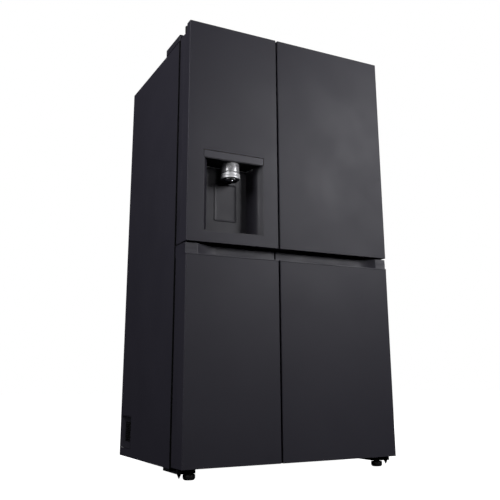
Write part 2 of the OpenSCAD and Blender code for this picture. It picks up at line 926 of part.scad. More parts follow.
// Chute: the tube inside the nozzle, the body behind it and the duct above
module ice_chute() {
    color([0.04, 0.04, 0.05]) {
        difference() {
            union() {
                translate([disp_x, at(nozzle_d), nozzle_z - 5])
                    cylinder(r = chute_r, h = disp_z1 - nozzle_z + 5);
                difference() {
                    translate([disp_x, at(chute_rear_d), nozzle_z - 4])
                        cylinder(r = chute_rear_r, h = recess_top - nozzle_z + 4);
                    translate([disp_x, at(nozzle_d), nozzle_z]) cylinder(r = chute_rear_r + 4.3, h = 80);
                }
            }
            translate([disp_x, at(nozzle_d), nozzle_z - 10]) cylinder(r = chute_bore, h = 100);
        }
        difference() {
            duct(duct_r, 0);
            duct(duct_r - 3, cut);
        }
    }
}

// Bright collar round the nozzle
module nozzle_collar() {
    color([0.8, 0.81, 0.82])
        translate([disp_x, at(nozzle_d), nozzle_z])
            difference() {
                union() {
                    cylinder(r = 38, h = 22);
                    translate([0, 0, 22]) cylinder(r = 32, h = 4);
                    translate([0, 0, 26]) cylinder(r1 = 36, r2 = 33, h = recess_top - nozzle_z - 26);
                }
                translate([0, 0, -cut]) cylinder(r = chute_r, h = 80);
            }
}

// Water spout at the front of the chute's bore, on a short rib
module water_spout() {
    color([0.85, 0.86, 0.87]) {
        difference() {
            translate([disp_x, at(24), nozzle_z - 10]) cylinder(r = 6, h = 50);
            translate([disp_x, at(24), nozzle_z - 10 - cut]) cylinder(r = 3.5, h = 52 + cut);
        }
        block([disp_x - 2, at(13.5), nozzle_z + 20], [disp_x + 2, at(19), nozzle_z + 30]);
    }
}

// Paddle that hangs from a pin and is pushed towards the back wall
module dispenser_paddle() {
    half = paddle_w / 2;
    color([0.1, 0.1, 0.11]) {
        rounded_plate(disp_x - half, disp_x + half, at(paddle_d), paddle_t, paddle_bottom, paddle_top, 7);
        block([disp_x - half + 6, at(paddle_d + 2), paddle_pin_z - 4],
              [disp_x + half - 6, at(paddle_pin_d), paddle_pin_z + 4]);
        translate([disp_x - half - paddle_pin_end, at(paddle_pin_d), paddle_pin_z])
            rotate([0, 90, 0]) cylinder(r = paddle_pin_r, h = paddle_w + 2 * paddle_pin_end);
    }
}

module drip_tray() {
    color([0.07, 0.07, 0.08])
        difference() {
            block([disp_x - 78, at(20), recess_floor], [disp_x + 78, at(80), recess_floor + tray_h]);
            for (x = [-70:14:56])
                block([disp_x + x, at(26), recess_floor + 1.5],
                      [disp_x + x + 8, at(74), recess_floor + tray_h + cut]);
        }
}

// Ice bin behind the upper-left door, with the hole to the duct
module ice_bin() {
    color([0.85, 0.9, 0.92, 0.6])
        difference() {
            open_box([left_bin_x[0], at(dyke_d), 1205], [left_bin_x[1], at(dyke_d + bin_d), 1495], bin_wall);
            translate([disp_x, at(dyke_d) - cut, duct_z])
                rotate([-90, 0, 0]) cylinder(r = duct_r - 3, h = bin_wall + 2 * cut);
        }
}

cabinet_shell();
cabinet_insulation();
freezer_liner();
fridge_liner();
back_panel();
front_frame();
base_frame();
front_foot_left();
front_foot_right();
rear_rollers();
compressor();
condenser_coil();
condenser_fan();
fan_motors();
machine_cover();
evaporator();
evaporator_fan();
evaporator_cover();
side_vents();
power_inlet();
water_valve();
upper_hinges();
hinge_covers();
middle_hinges();
lower_hinges();
glass_shelves();
crisper_upper();
crisper_lower();
freezer_drawer_upper();
freezer_drawer_lower();
upper_left_door_skin();
upper_left_door_insulation();
upper_left_door_liner();
upper_left_door_gasket();
upper_left_door_frame();
upper_left_door_bins();
upper_right_door_skin();
upper_right_door_insulation();
upper_right_door_liner();
upper_right_door_gasket();
upper_right_door_frame();
upper_right_door_bins();
lower_left_door_skin();
lower_left_door_insulation();
lower_left_door_liner();
lower_left_door_gasket();
lower_left_door_frame();
lower_right_door_skin();
lower_right_door_insulation();
lower_right_door_liner();
lower_right_door_gasket();
lower_right_door_frame();
dispenser_housing();
dispenser_control_strip();
ice_chute();
nozzle_collar();
water_spout();
dispenser_paddle();
drip_tray();
ice_bin();
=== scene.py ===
"""Looks of a four-door refrigerator with a dispenser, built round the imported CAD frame. Metres."""

import json
import math

import bmesh
import bpy
from mathutils import Matrix, Vector

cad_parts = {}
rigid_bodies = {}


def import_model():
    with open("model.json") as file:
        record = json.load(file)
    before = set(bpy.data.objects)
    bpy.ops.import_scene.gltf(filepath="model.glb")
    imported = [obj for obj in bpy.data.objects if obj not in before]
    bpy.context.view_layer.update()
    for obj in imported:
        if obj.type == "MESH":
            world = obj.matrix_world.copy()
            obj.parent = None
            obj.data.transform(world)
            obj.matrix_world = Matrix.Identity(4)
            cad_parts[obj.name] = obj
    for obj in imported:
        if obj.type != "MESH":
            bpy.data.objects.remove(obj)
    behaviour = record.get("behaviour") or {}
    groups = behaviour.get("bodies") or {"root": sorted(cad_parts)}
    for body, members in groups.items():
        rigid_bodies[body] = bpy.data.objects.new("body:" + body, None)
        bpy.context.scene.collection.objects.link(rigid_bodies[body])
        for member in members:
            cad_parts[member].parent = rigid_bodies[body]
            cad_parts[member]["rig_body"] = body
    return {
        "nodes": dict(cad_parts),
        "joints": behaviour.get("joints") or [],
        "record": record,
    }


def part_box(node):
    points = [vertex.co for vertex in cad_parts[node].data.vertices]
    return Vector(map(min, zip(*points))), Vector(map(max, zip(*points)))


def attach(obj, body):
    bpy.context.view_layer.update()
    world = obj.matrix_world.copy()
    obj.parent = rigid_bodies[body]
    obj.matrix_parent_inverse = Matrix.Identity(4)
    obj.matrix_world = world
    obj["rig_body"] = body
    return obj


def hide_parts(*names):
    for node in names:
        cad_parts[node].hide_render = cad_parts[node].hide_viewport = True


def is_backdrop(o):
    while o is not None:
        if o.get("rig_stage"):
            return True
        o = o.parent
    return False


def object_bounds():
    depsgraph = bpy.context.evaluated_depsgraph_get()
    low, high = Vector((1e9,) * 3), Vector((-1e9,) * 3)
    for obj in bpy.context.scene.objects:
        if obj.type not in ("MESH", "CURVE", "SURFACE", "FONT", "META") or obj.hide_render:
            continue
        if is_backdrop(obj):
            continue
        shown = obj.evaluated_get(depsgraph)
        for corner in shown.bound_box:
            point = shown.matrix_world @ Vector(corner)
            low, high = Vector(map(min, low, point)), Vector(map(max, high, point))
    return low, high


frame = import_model()
cad_low, cad_high = (Vector(corner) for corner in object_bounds())

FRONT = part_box("upper_left_door_skin")[0].y
SHARP = math.radians(38)


def at(depth):
    """The y of a plane that many millimetres behind the door fronts."""
    return FRONT + depth * 0.001


# ---------------------------------------------------------------- materials


NOISE_LOW, NOISE_HIGH = 0.3, 0.7     # the range that most of a noise lies in


def scaled_noise(tree, scale, detail=3.0):
    """A noise on the piece's own coordinates; its factor socket."""
    coords = tree.nodes.new("ShaderNodeTexCoord")
    noise = tree.nodes.new("ShaderNodeTexNoise")
    noise.inputs["Scale"].default_value = scale
    noise.inputs["Detail"].default_value = detail
    noise.inputs["Roughness"].default_value = 0.55
    tree.links.new(coords.outputs["Object"], noise.inputs["Vector"])
    return noise.outputs["Fac"]


def between(tree, factor, low, high):
    """Maps a noise's middle range onto low to high."""
    node = tree.nodes.new("ShaderNodeMapRange")
    node.inputs["From Min"].default_value = NOISE_LOW
    node.inputs["From Max"].default_value = NOISE_HIGH
    node.inputs["To Min"].default_value = low
    node.inputs["To Max"].default_value = high
    tree.links.new(factor, node.inputs["Value"])
    return node.outputs["Result"]


def two_tone(tree, factor, dark, light):
    """A colour that drifts between two near ones."""
    ramp = tree.nodes.new("ShaderNodeValToRGB")
    ramp.color_ramp.elements[0].position = NOISE_LOW
    ramp.color_ramp.elements[0].color = (*dark, 1)
    ramp.color_ramp.elements[1].position = NOISE_HIGH
    ramp.color_ramp.elements[1].color = (*light, 1)
    tree.links.new(factor, ramp.inputs["Fac"])
    return ramp.outputs["Color"]


def surface(name, colour, drift=0.10, drift_scale=5.0, rough=0.45, rough_drift=0.06, metallic=0.0,
            grain_scale=1200.0, grain=0.08, grain_depth=0.00004, **sockets):
    """A finish: drifting colour and roughness, and a fine bump. sockets are constant shader values."""
    material = bpy.data.materials.new(name)
    material.use_nodes = True
    tree = material.node_tree
    shader = tree.nodes["Principled BSDF"]
    dark = [c * (1 - drift) for c in colour]
    light = [min(c * (1 + drift), 1) for c in colour]
    cloud = scaled_noise(tree, drift_scale)
    tree.links.new(two_tone(tree, cloud, dark, light), shader.inputs["Base Color"])
    smudge = scaled_noise(tree, drift_scale * 2.3, detail=5.0)
    tree.links.new(between(tree, smudge, rough - rough_drift, rough + rough_drift), shader.inputs["Roughness"])
    bump = tree.nodes.new("ShaderNodeBump")
    bump.inputs["Strength"].default_value = grain
    bump.inputs["Distance"].default_value = grain_depth
    tree.links.new(scaled_noise(tree, grain_scale, detail=2.0), bump.inputs["Height"])
    tree.links.new(bump.outputs["Normal"], shader.inputs["Normal"])
    shader.inputs["Metallic"].default_value = metallic
    for socket, value in sockets.items():
        shader.inputs[socket.replace("_", " ")].default_value = value
    return material


PAINT = surface("black_paint", (0.036, 0.0340, 0.0465), drift=0.05, drift_scale=3.0, rough=0.50,
                rough_drift=0.03, grain_scale=1500.0, grain=0.25, grain_depth=0.00003, Specular_IOR_Level=0.35)
TRIM = surface("dark_trim", (0.036, 0.0340, 0.0465), drift=0.08, rough=0.48, grain_scale=2200.0, grain=0.3,
               Specular_IOR_Level=0.35)
RECESS = surface("recess_plastic", (0.030, 0.0284, 0.038), drift=0.05, rough=0.45, grain_scale=2500.0,
                 grain=0.15, Specular_IOR_Level=0.37)
GLOSS = surface("gloss_black", (0.010, 0.010, 0.012), drift=0.08, rough=0.16, rough_drift=0.03,
                grain_scale=300.0, grain=0.03)
STRIP = surface("control_strip", (0.045, 0.0425, 0.057), drift=0.04, rough=0.42, rough_drift=0.02,
                grain_scale=1800.0, grain=0.1, Specular_IOR_Level=0.35)
COVER = surface("cover_plastic", (0.031, 0.0295, 0.040), drift=0.06, rough=0.50, grain_scale=1800.0, grain=0.2,
                Specular_IOR_Level=0.35)
VENT = surface("vent_plastic", (0.027, 0.0255, 0.034), drift=0.06, rough=0.50, grain_scale=1800.0, grain=0.2,
               Specular_IOR_Level=0.35)
SLAT = surface("slat_plastic", (0.008, 0.008, 0.009), drift=0.10, rough=0.55, grain_scale=1800.0, grain=0.2)
# Near-black painted shade of the gap between doors and cabinet, put on the front frame, the shell's front rim and
# the doors' rear rims.
GAP_SHADE = surface("painted_gap_shade", (0.004, 0.004, 0.005), drift=0.10, rough=0.60, grain_scale=900.0, grain=0.2,
                      Specular_IOR_Level=0.15)
SHADOW_GAP = surface("dark_cavity", (0.006, 0.006, 0.007), drift=0.2, rough=0.8, rough_drift=0.05)
LINER = surface("liner_white", (0.80, 0.81, 0.82), drift=0.02, rough=0.32, grain_scale=500.0, grain=0.12)
FOAM = surface("insulation_foam", (0.80, 0.68, 0.40), drift=0.12, drift_scale=25.0, rough=0.9,
               grain_scale=600.0, grain=0.9, grain_depth=0.0006)
GALVANISED = surface("galvanised_sheet", (0.52, 0.53, 0.55), drift=0.22, drift_scale=60.0, rough=0.42,
                     rough_drift=0.10, metallic=1.0, grain_scale=700.0, grain=0.08)
BLACK_STEEL = surface("black_steel", (0.012, 0.012, 0.014), drift=0.15, drift_scale=20.0, rough=0.55,
                      grain_scale=900.0, grain=0.2, Specular_IOR_Level=0.15)
SEAL = surface("seal_rubber", (0.014, 0.014, 0.015), drift=0.10, rough=0.62, grain_scale=900.0, grain=0.2,
               Specular_IOR_Level=0.2)
FOOT = surface("foot_rubber", (0.012, 0.012, 0.013), drift=0.20, drift_scale=30.0, rough=0.55,
               grain_scale=1500.0, grain=0.3)
CLEAR = surface("clear_plastic", (0.93, 0.96, 0.97), drift=0.01, rough=0.10, rough_drift=0.02,
                grain_scale=200.0, grain=0.03, Transmission_Weight=0.92, IOR=1.45)
GLASS = surface("shelf_glass", (0.88, 0.95, 0.93), drift=0.01, rough=0.03, rough_drift=0.01,
                grain_scale=40.0, grain=0.02, Transmission_Weight=0.97, IOR=1.50)
ALUMINIUM = surface("aluminium", (0.72, 0.73, 0.74), drift=0.08, drift_scale=40.0, rough=0.34, metallic=1.0,
                    grain_scale=900.0, grain=0.1)
CHROME = surface("chrome", (0.80, 0.80, 0.81), drift=0.03, drift_scale=40.0, rough=0.14, rough_drift=0.03,
                 metallic=1.0, grain_scale=400.0, grain=0.03)
# The chrome collar ring is given a near-white, partly diffuse colour: painted sheen standing in for its bright
# reflection, with some real metal shine.
RING_PAINTED_SHEEN = surface("ring_painted_sheen", (0.93, 0.93, 0.94), drift=0.02, drift_scale=40.0, rough=0.40, rough_drift=0.03,
                metallic=0.35, grain_scale=900.0, grain=0.05)
# The chrome cup is given a light colour mottled at a fine scale: painted reflection streaks, with some real metal
# shine.
CUP_PAINTED_REFLECTION = surface("cup_painted_reflection", (0.66, 0.66, 0.67), drift=0.30, drift_scale=110.0, rough=0.26, rough_drift=0.08,
              metallic=0.45, grain_scale=300.0, grain=0.3, grain_depth=0.0003)
ZINC = surface("zinc_screw", (0.60, 0.60, 0.61), drift=0.10, drift_scale=200.0, rough=0.30, metallic=1.0,
               grain_scale=2000.0, grain=0.1)
GREY_PLASTIC = surface("grey_plastic", (0.42, 0.43, 0.45), drift=0.06, rough=0.45, grain_scale=1500.0, grain=0.2)
COPPER = surface("copper_tube", (0.72, 0.36, 0.20), drift=0.15, drift_scale=30.0, rough=0.30, metallic=1.0,
                 grain_scale=900.0, grain=0.08)
WHITE_PLASTIC = surface("white_plastic", (0.78, 0.79, 0.80), drift=0.03, rough=0.35, grain_scale=900.0, grain=0.1)


# ---------------------------------------------------------------- mesh tools


def add_piece(name, mesh, material, body, slot, stands_for=()):
    """Links a mesh as a piece that rides on a body, with its finish and the CAD nodes it stands for."""
    piece = bpy.data.objects.new(name, mesh)
    bpy.context.scene.collection.objects.link(piece)
    mesh.materials.clear()
    mesh.materials.append(material)
    mesh.shade_smooth()
    mesh.set_sharp_from_angle(angle=SHARP)
    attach(piece, body)
    if stands_for:
        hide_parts(*stands_for)
    return piece


def bevelled(piece, width, segments=2):
    """Rounds a piece's sharp edges by width metres."""
    bevel = piece.modifiers.new("edges", "BEVEL")
    bevel.width = width
    bevel.segments = segments
    bevel.limit_method = "ANGLE"
    bevel.angle_limit = SHARP
    bevel.harden_normals = True
    return piece


def mesh_of(name, verts, faces):
    """A mesh with its normals outwards."""
    mesh = bpy.data.meshes.new(name)
    mesh.from_pydata([tuple(v) for v in verts], [], faces)
    work = bmesh.new()
    work.from_mesh(mesh)
    bmesh.ops.recalc_face_normals(work, faces=work.faces)
    work.to_mesh(mesh)
    work.free()
    return mesh


def joined(name, meshes):
    """Several meshes as one."""
    work = bmesh.new()
    for mesh in meshes:
        work.from_mesh(mesh)
    whole = bpy.data.meshes.new(name)
    work.to_mesh(whole)
    work.free()
    for mesh in meshes:
        bpy.data.meshes.remove(mesh)
    return whole


def cleaned(node):
    """A copy of a CAD node's mesh with its flat faces whole again."""
    work = bmesh.new()
    work.from_mesh(frame["nodes"][node].data)
    bmesh.ops.remove_doubles(work, verts=work.verts, dist=0.00001)
    bmesh.ops.dissolve_limit(work, angle_limit=math.radians(0.6), verts=work.verts, edges=work.edges)
    mesh = bpy.data.meshes.new(node + "_fine")
    work.to_mesh(mesh)
    work.free()
    return mesh


def slot_of(node):
    """The record's material slot of a CAD node."""
    return next(s["material_slot"] for s in frame["record"]["subparts"] if s["node"] == node)


def body_of(node):
    return frame["nodes"][node]["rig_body"]


def refine(node, material, width=0.0006, segments=2):
    """A CAD node with rounded edges and a finish."""
    piece = add_piece(node + "_fine", cleaned(node), material, body_of(node), slot_of(node), [node])
    return bevelled(piece, width, segments)


def black_edge(piece, y, material, side):
    """Cuts a piece's mesh at y and gives what lies in front of it (side -1) or behind it (1) a second material,
    here the near-black painted shade of the gap round the doors.
    """
    work = bmesh.new()
    work.from_mesh(piece.data)
    geometry = work.verts[:] + work.edges[:] + work.faces[:]
    bmesh.ops.bisect_plane(work, geom=geometry, plane_co=(0, y, 0), plane_no=(0, 1, 0))
    for face in work.faces:
        if all(side * (vert.co.y - y) > -0.00001 for vert in face.verts):
            face.material_index = 1
    work.to_mesh(piece.data)
    work.free()
    piece.data.materials.append(material)


def dress(node, material):
    """A CAD node shown as it is, with a finish."""
    data = frame["nodes"][node].data
    data.materials.clear()
    data.materials.append(material)


def ring_loft(name, rings, caps=(True, True)):
    """A skin over closed rings of equally many points, with its two ends closed."""
    count = len(rings[0])
    verts = [point for ring in rings for point in ring]
    faces = []
    for i in range(len(rings) - 1):
        for j in range(count):
            k = (j + 1) % count
            faces.append((i * count + j, i * count + k, (i + 1) * count + k, (i + 1) * count + j))
    if caps[0]:
        faces.append(tuple(range(count)))
    if caps[1]:
        last = (len(rings) - 1) * count
        faces.append(tuple(last + j for j in range(count)))
    return mesh_of(name, verts, faces)


def rounded_ring(width, height, radius, steps=6):
    """The outline of a rectangle with rounded corners, round the origin."""
    radius = max(min(radius, width / 2 - 1e-5, height / 2 - 1e-5), 1e-5)
    corners = ((1, 1, 0), (-1, 1, 90), (-1, -1, 180), (1, -1, 270))
    points = []
    for sx, sy, start in corners:
        for i in range(steps + 1):
            turn = math.radians(start + 90 * i / steps)
            points.append((sx * (width / 2 - radius) + radius * math.cos(turn),
                           sy * (height / 2 - radius) + radius * math.sin(turn)))
    return points


def middle_of(low, high):
    """The middle of a box."""
    return tuple((a + b) / 2 for a, b in zip(low, high))


def size_of(low, high):
    """The width, depth and height of a box."""
    return tuple(b - a for a, b in zip(low, high))


def level_ring(middle, z, width, depth, radius, steps=5):
    """A rectangle with rounded corners that lies at height z."""
    outline = rounded_ring(width, depth, radius, steps)
    return [Vector((middle[0] + u, middle[1] + v, z)) for u, v in outline]


def upright_ring(middle, y, width, height, radius, steps=5):
    """A rectangle with rounded corners that stands across the Y axis."""
    outline = rounded_ring(width, height, radius, steps)
    return [Vector((middle[0] + u, y, middle[2] + v)) for u, v in outline]


def lathe(name, profile, place, segments=64, swell=None):
    """A profile of (radius, height) turned about an axis; place maps x, y, height to a point."""
    rings = []
    for radius, height in profile:
        ring = []
        for i in range(segments):
            turn = 2 * math.pi * i / segments
            r = max(radius, 1e-5) * (swell(turn, radius, height) if swell else 1)
            ring.append(place(r * math.cos(turn), r * math.sin(turn), height))
        rings.append(ring)
    return ring_loft(name, rings)


def upright(centre):
    """Places a lathe's axis along Z."""
    return lambda x, y, h: Vector((centre[0] + x, centre[1] + y, centre[2] + h))


def along_y(centre):
    return lambda x, y, h: Vector((centre[0] + x, centre[1] + h, centre[2] + y))


def along_x(centre):
    return lambda x, y, h: Vector((centre[0] + h, centre[1] + x, centre[2] + y))


def smooth_path(points, radius, steps=5):
    """A line through the points with its inner corners rounded."""
    path = [Vector(points[0])]
    for before, corner, after in zip(points, points[1:], points[2:]):
        corner = Vector(corner)
        a = Vector(before) - corner
        b = Vector(after) - corner
        reach = min(radius, a.length * 0.49, b.length * 0.49)
        start = corner + a.normalized() * reach
        end = corner + b.normalized() * reach
        for i in range(steps + 1):
            t = i / steps
            path.append(start * (1 - t) ** 2 + corner * 2 * t * (1 - t) + end * t ** 2)
    path.append(Vector(points[-1]))
    return path


def tube(name, path, radius, segments=12):
    """A round tube along a line of points."""
    rings = []
    side = None
    for i, point in enumerate(path):
        ahead = path[min(i + 1, len(path) - 1)] - path[max(i - 1, 0)]
        ahead.normalize()
        if side is None:
            side = ahead.orthogonal().normalized()
        side = (side - ahead * side.dot(ahead)).normalized()
        over = ahead.cross(side)
        rings.append([point + radius * (math.cos(a) * side + math.sin(a) * over)
                      for a in (2 * math.pi * j / segments for j in range(segments))])
    return ring_loft(name, rings)


def screw(name, centre, out, radius=0.0045, turn=0.0):
    """A pan-head screw with a cross recess, standing on centre along out."""
    out = Vector(out).normalized()
    rotation = out.to_track_quat("Z", "Y").to_matrix()
    head = radius * 0.55
    work = bmesh.new()
    rings = []
    for r, h in ((1.0, 0.0), (1.0, 0.35), (0.86, 0.75), (0.6, 0.95), (0.42, 1.0)):
        ring = []
        for i in range(24):
            a = 2 * math.pi * i / 24 + turn
            ring.append(work.verts.new((r * radius * math.cos(a), r * radius * math.sin(a), h * head)))
        rings.append(ring)
    inner = []
    for i in range(24):
        a = 2 * math.pi * i / 24 + turn
        arm = 0.40 if i % 6 in (0, 1, 5) else 0.14
        inner.append(work.verts.new((arm * radius * math.cos(a), arm * radius * math.sin(a), head)))
    rings.append(inner)
    deep = [work.verts.new((v.co.x * 0.7, v.co.y * 0.7, head * 0.35)) for v in inner]
    rings.append(deep)
    for a, b in zip(rings, rings[1:]):
        for i in range(24):
            k = (i + 1) % 24
            work.faces.new((a[i], a[k], b[k], b[i]))
    work.faces.new(rings[0][::-1])
    work.faces.new(deep)
    bmesh.ops.recalc_face_normals(work, faces=work.faces)
    mesh = bpy.data.meshes.new(name)
    work.to_mesh(mesh)
    work.free()
    mesh.transform(Matrix.Translation(Vector(centre)) @ rotation.to_4x4())
    return mesh


def subtract(solid, tool, operation="DIFFERENCE"):
    """solid with tool cut out of it, as a new mesh."""
    objects = []
    for mesh in (solid, tool):
        piece = bpy.data.objects.new(mesh.name, mesh)
        bpy.context.scene.collection.objects.link(piece)
        objects.append(piece)
    cutter = objects[0].modifiers.new("cut", "BOOLEAN")
    cutter.object = objects[1]
    cutter.operation = operation
    cutter.solver = "EXACT"
    depsgraph = bpy.context.evaluated_depsgraph_get()
    result = bpy.data.meshes.new_from_object(objects[0].evaluated_get(depsgraph))
    for piece in objects:
        bpy.data.objects.remove(piece)
    return result


def unite(solid, other):
    """Two solids as one."""
    return subtract(solid, other, "UNION")


# ---------------------------------------------------------------- cabinet and doors

DOORS = ("upper_left_door", "upper_right_door", "lower_left_door", "lower_right_door")


def cabinet():
    shell = refine("cabinet_shell", PAINT, 0.0008, 3)
    # The shell's front rim and the front frame are near-black: painted shade of the gap between doors and cabinet.
    black_edge(shell, at(122), GAP_SHADE, -1)
    refine("front_frame", GAP_SHADE, 0.0004)
    dress("cabinet_insulation", FOAM)
    for node in ("freezer_liner", "fridge_liner", "evaporator_cover"):
        refine(node, LINER, 0.0008)
    refine("base_frame", GALVANISED, 0.0004)
    refine("machine_cover", TRIM, 0.0005)


def doors():
    for door in DOORS:
        refine(door + "_skin", PAINT, 0.0005, 3)
        dress(door + "_insulation", FOAM)
        refine(door + "_liner", LINER, 0.003, 4)
        seal(door)


def seal(door):
    """Magnetic seal: a bellows behind a flat land, mitred round the door."""
    low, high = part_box(door + "_gasket")
    middle = middle_of(low, high)
    width, deep, height = size_of(low, high)
    band = 0.0135
    profile = ((0.0, 0.0), (0.0, 0.25), (0.12, 0.36), (0.0, 0.47), (0.0, 0.62), (0.10, 0.70), (0.0, 0.78),
               (0.02, 0.97), (0.10, 1.0), (0.90, 1.0), (0.98, 0.97), (1.0, 0.78), (0.90, 0.70), (1.0, 0.62),
               (1.0, 0.47), (0.88, 0.36), (1.0, 0.25), (1.0, 0.0))
    rings = []
    for across, out in profile:
        inset = across * band
        rings.append(upright_ring(middle, low.y + out * deep, width - 2 * inset, height - 2 * inset,
                                  0.016 - inset * 0.9))
    rings.append(rings[0])
    mesh = ring_loft(door + "_seal", rings, caps=(False, False))
    add_piece(door + "_seal", mesh, SEAL, door, "seal_rubber", [door + "_gasket"])


def upper_frames():
    for door in DOORS[:2]:
        ring = refine(door + "_frame", TRIM, 0.0008, 3)
        # The frame's rear rim is near-black: painted shade of the gap between door and cabinet.
        black_edge(ring, at(102), GAP_SHADE, 1)


def eased(t):
    """A smooth step from 0 to 1."""
    t = min(max(t, 0.0), 1.0)
    return t * t * (3 - 2 * t)


LIP_H = 0.0055            # height of the lip over the skin
RAMP_START = 0.050        # the ramp of a pocket handle, from the hinge side
RAMP_LENGTH = 0.086
DROP = 0.0175             # how far the pocket's floor lies below the lip
DROP_START = 0.134
DROP_END = 0.080          # from the free side
DROP_EASE = 0.03


def pocket_handle(door, outward):
    """The top of a lower door: a lip, a scooped pocket and a ramp that fills it near the hinge."""
    skin_low, skin_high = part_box(door + "_skin")
    low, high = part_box(door + "_frame")
    base = skin_high.z
    top = high.z
    back = high.y
    lip = base + LIP_H
    hinge_x, free_x = (low.x, high.x) if outward < 0 else (high.x, low.x)
    toward = 1 if free_x > hinge_x else -1
    flush, deep = 0.0078, 0.038
    rise = 1.5 if outward < 0 else 2.5
    stations = [0, 0.0007, 0.002, 0.010, 0.022, 0.036]
    stations += [0.046 + 0.094 * i / 24 for i in range(25)]
    span = abs(free_x - hinge_x)
    stations += [0.148, 0.156, 0.164, 0.172, 0.20, 0.26]
    stations += [span - 0.112 + 0.004 * i for i in range(9)] + [span - 0.04, span - 0.003, span - 0.0008, span]
    stations = sorted(s for s in set(stations) if s <= span)
    rings = []
    for s in stations:
        fill = 1 - (1 - min(max((s - RAMP_START) / RAMP_LENGTH, 0.0), 1.0)) ** rise
        depth = flush + (deep - flush) * fill
        drop = DROP * eased((s - DROP_START) / DROP_EASE) * eased((span - s - DROP_END) / DROP_EASE)
        floor = lip - 0.0002 - drop
        edge = min(s, span - s)
        shy = 0.0008 * (1 - min(edge / 0.0008, 1))
        ring = [
            (0.0022, base), (0.0022, base + 0.0010), (shy, base + 0.0013), (shy, lip - 0.0012),
            (shy + 0.0004, lip - 0.0003), (0.0014, lip), (0.0045, lip), (0.0052, lip - 0.0004),
            (0.0056, floor + 0.0006),
            (0.0056 + (depth - 0.0056) * 0.15, floor), (0.0056 + (depth - 0.0056) * 0.75, floor),
            (depth - 0.0006, floor + 0.0012 + 0.004 * fill), (depth, floor + 0.003 + 0.007 * fill),
            (depth + 0.0004 * fill, (floor + top) / 2), (depth + 0.0004, top - 0.0035),
            (depth + 0.0012, top - 0.001), (depth + 0.0032, top - shy * 0.4), (0.060, top - shy * 0.4),
            (back - FRONT - 0.0008, top - shy * 0.4), (back - FRONT, top - 0.001), (back - FRONT, base),
        ]
        x = hinge_x + toward * s
        rings.append([Vector((x, FRONT + d, z)) for d, z in ring])
    mesh = ring_loft(door + "_pocket_handle", rings)
    add_piece(door + "_pocket_handle", mesh, TRIM, door, "dark_trim")
    work = bmesh.new()
    work.from_mesh(cleaned(door + "_frame"))
    geometry = work.verts[:] + work.edges[:] + work.faces[:]
    bmesh.ops.bisect_plane(work, geom=geometry, plane_co=(0, 0, base - 0.0001), plane_no=(0, 0, 1),
                           clear_outer=True)
    ring = bpy.data.meshes.new(door + "_frame_fine")
    work.to_mesh(ring)
    work.free()
    lower = add_piece(door + "_frame_fine", ring, TRIM, door, "dark_trim", [door + "_frame"])
    bevelled(lower, 0.0006)
    # The frame's rear rim is near-black: painted shade of the gap between door and cabinet.
    black_edge(lower, at(102), GAP_SHADE, 1)


# ---------------------------------------------------------------- dispenser

STRIP_LOW, STRIP_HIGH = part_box("dispenser_control_strip")
HOUSE_LOW, HOUSE_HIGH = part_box("dispenser_housing")
DISPENSER_X = (HOUSE_LOW.x + HOUSE_HIGH.x) / 2
HALF = (HOUSE_HIGH.x - HOUSE_LOW.x) / 2
PADDLE_LOW, PADDLE_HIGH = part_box("dispenser_paddle")
PADDLE_HALF = 0.048       # half the paddle's width, without its pin
NOOK_GAP = 0.0012         # gap round the paddle


def recess_path(inset=0.0):
    """The recess seen from above, from its left front edge round the back to its right front edge."""
    half = [(HALF - 0.0035 - inset, -0.002), (HALF - 0.0035 - inset, 0.0012), (HALF - 0.0195 - inset, 0.0160),
            (HALF - 0.027 - inset, 0.035), (HALF - 0.038 - inset, 0.085 - inset)]
    left = [Vector((DISPENSER_X - w, FRONT + d, 0)) for w, d in half]
    right = [Vector((DISPENSER_X + w, FRONT + d, 0)) for w, d in reversed(half)]
    return smooth_path(left, 0.012, 7) + smooth_path(right, 0.012, 7)


def box_mesh(name, low, high):
    corners = [(x, y, z) for x in (low[0], high[0]) for y in (low[1], high[1]) for z in (low[2], high[2])]
    return mesh_of(name, corners, [(0, 1, 3, 2), (4, 6, 7, 5), (0, 4, 5, 1), (2, 3, 7, 6), (0, 2, 6, 4),
                                   (1, 5, 7, 3)])


def plate_prism(name, width, height, radius, middle, y0, y1):
    """An upright plate with rounded corners between two depths."""
    return ring_loft(name, [upright_ring(middle, y, width, height, radius, 6) for y in (y0, y1)])


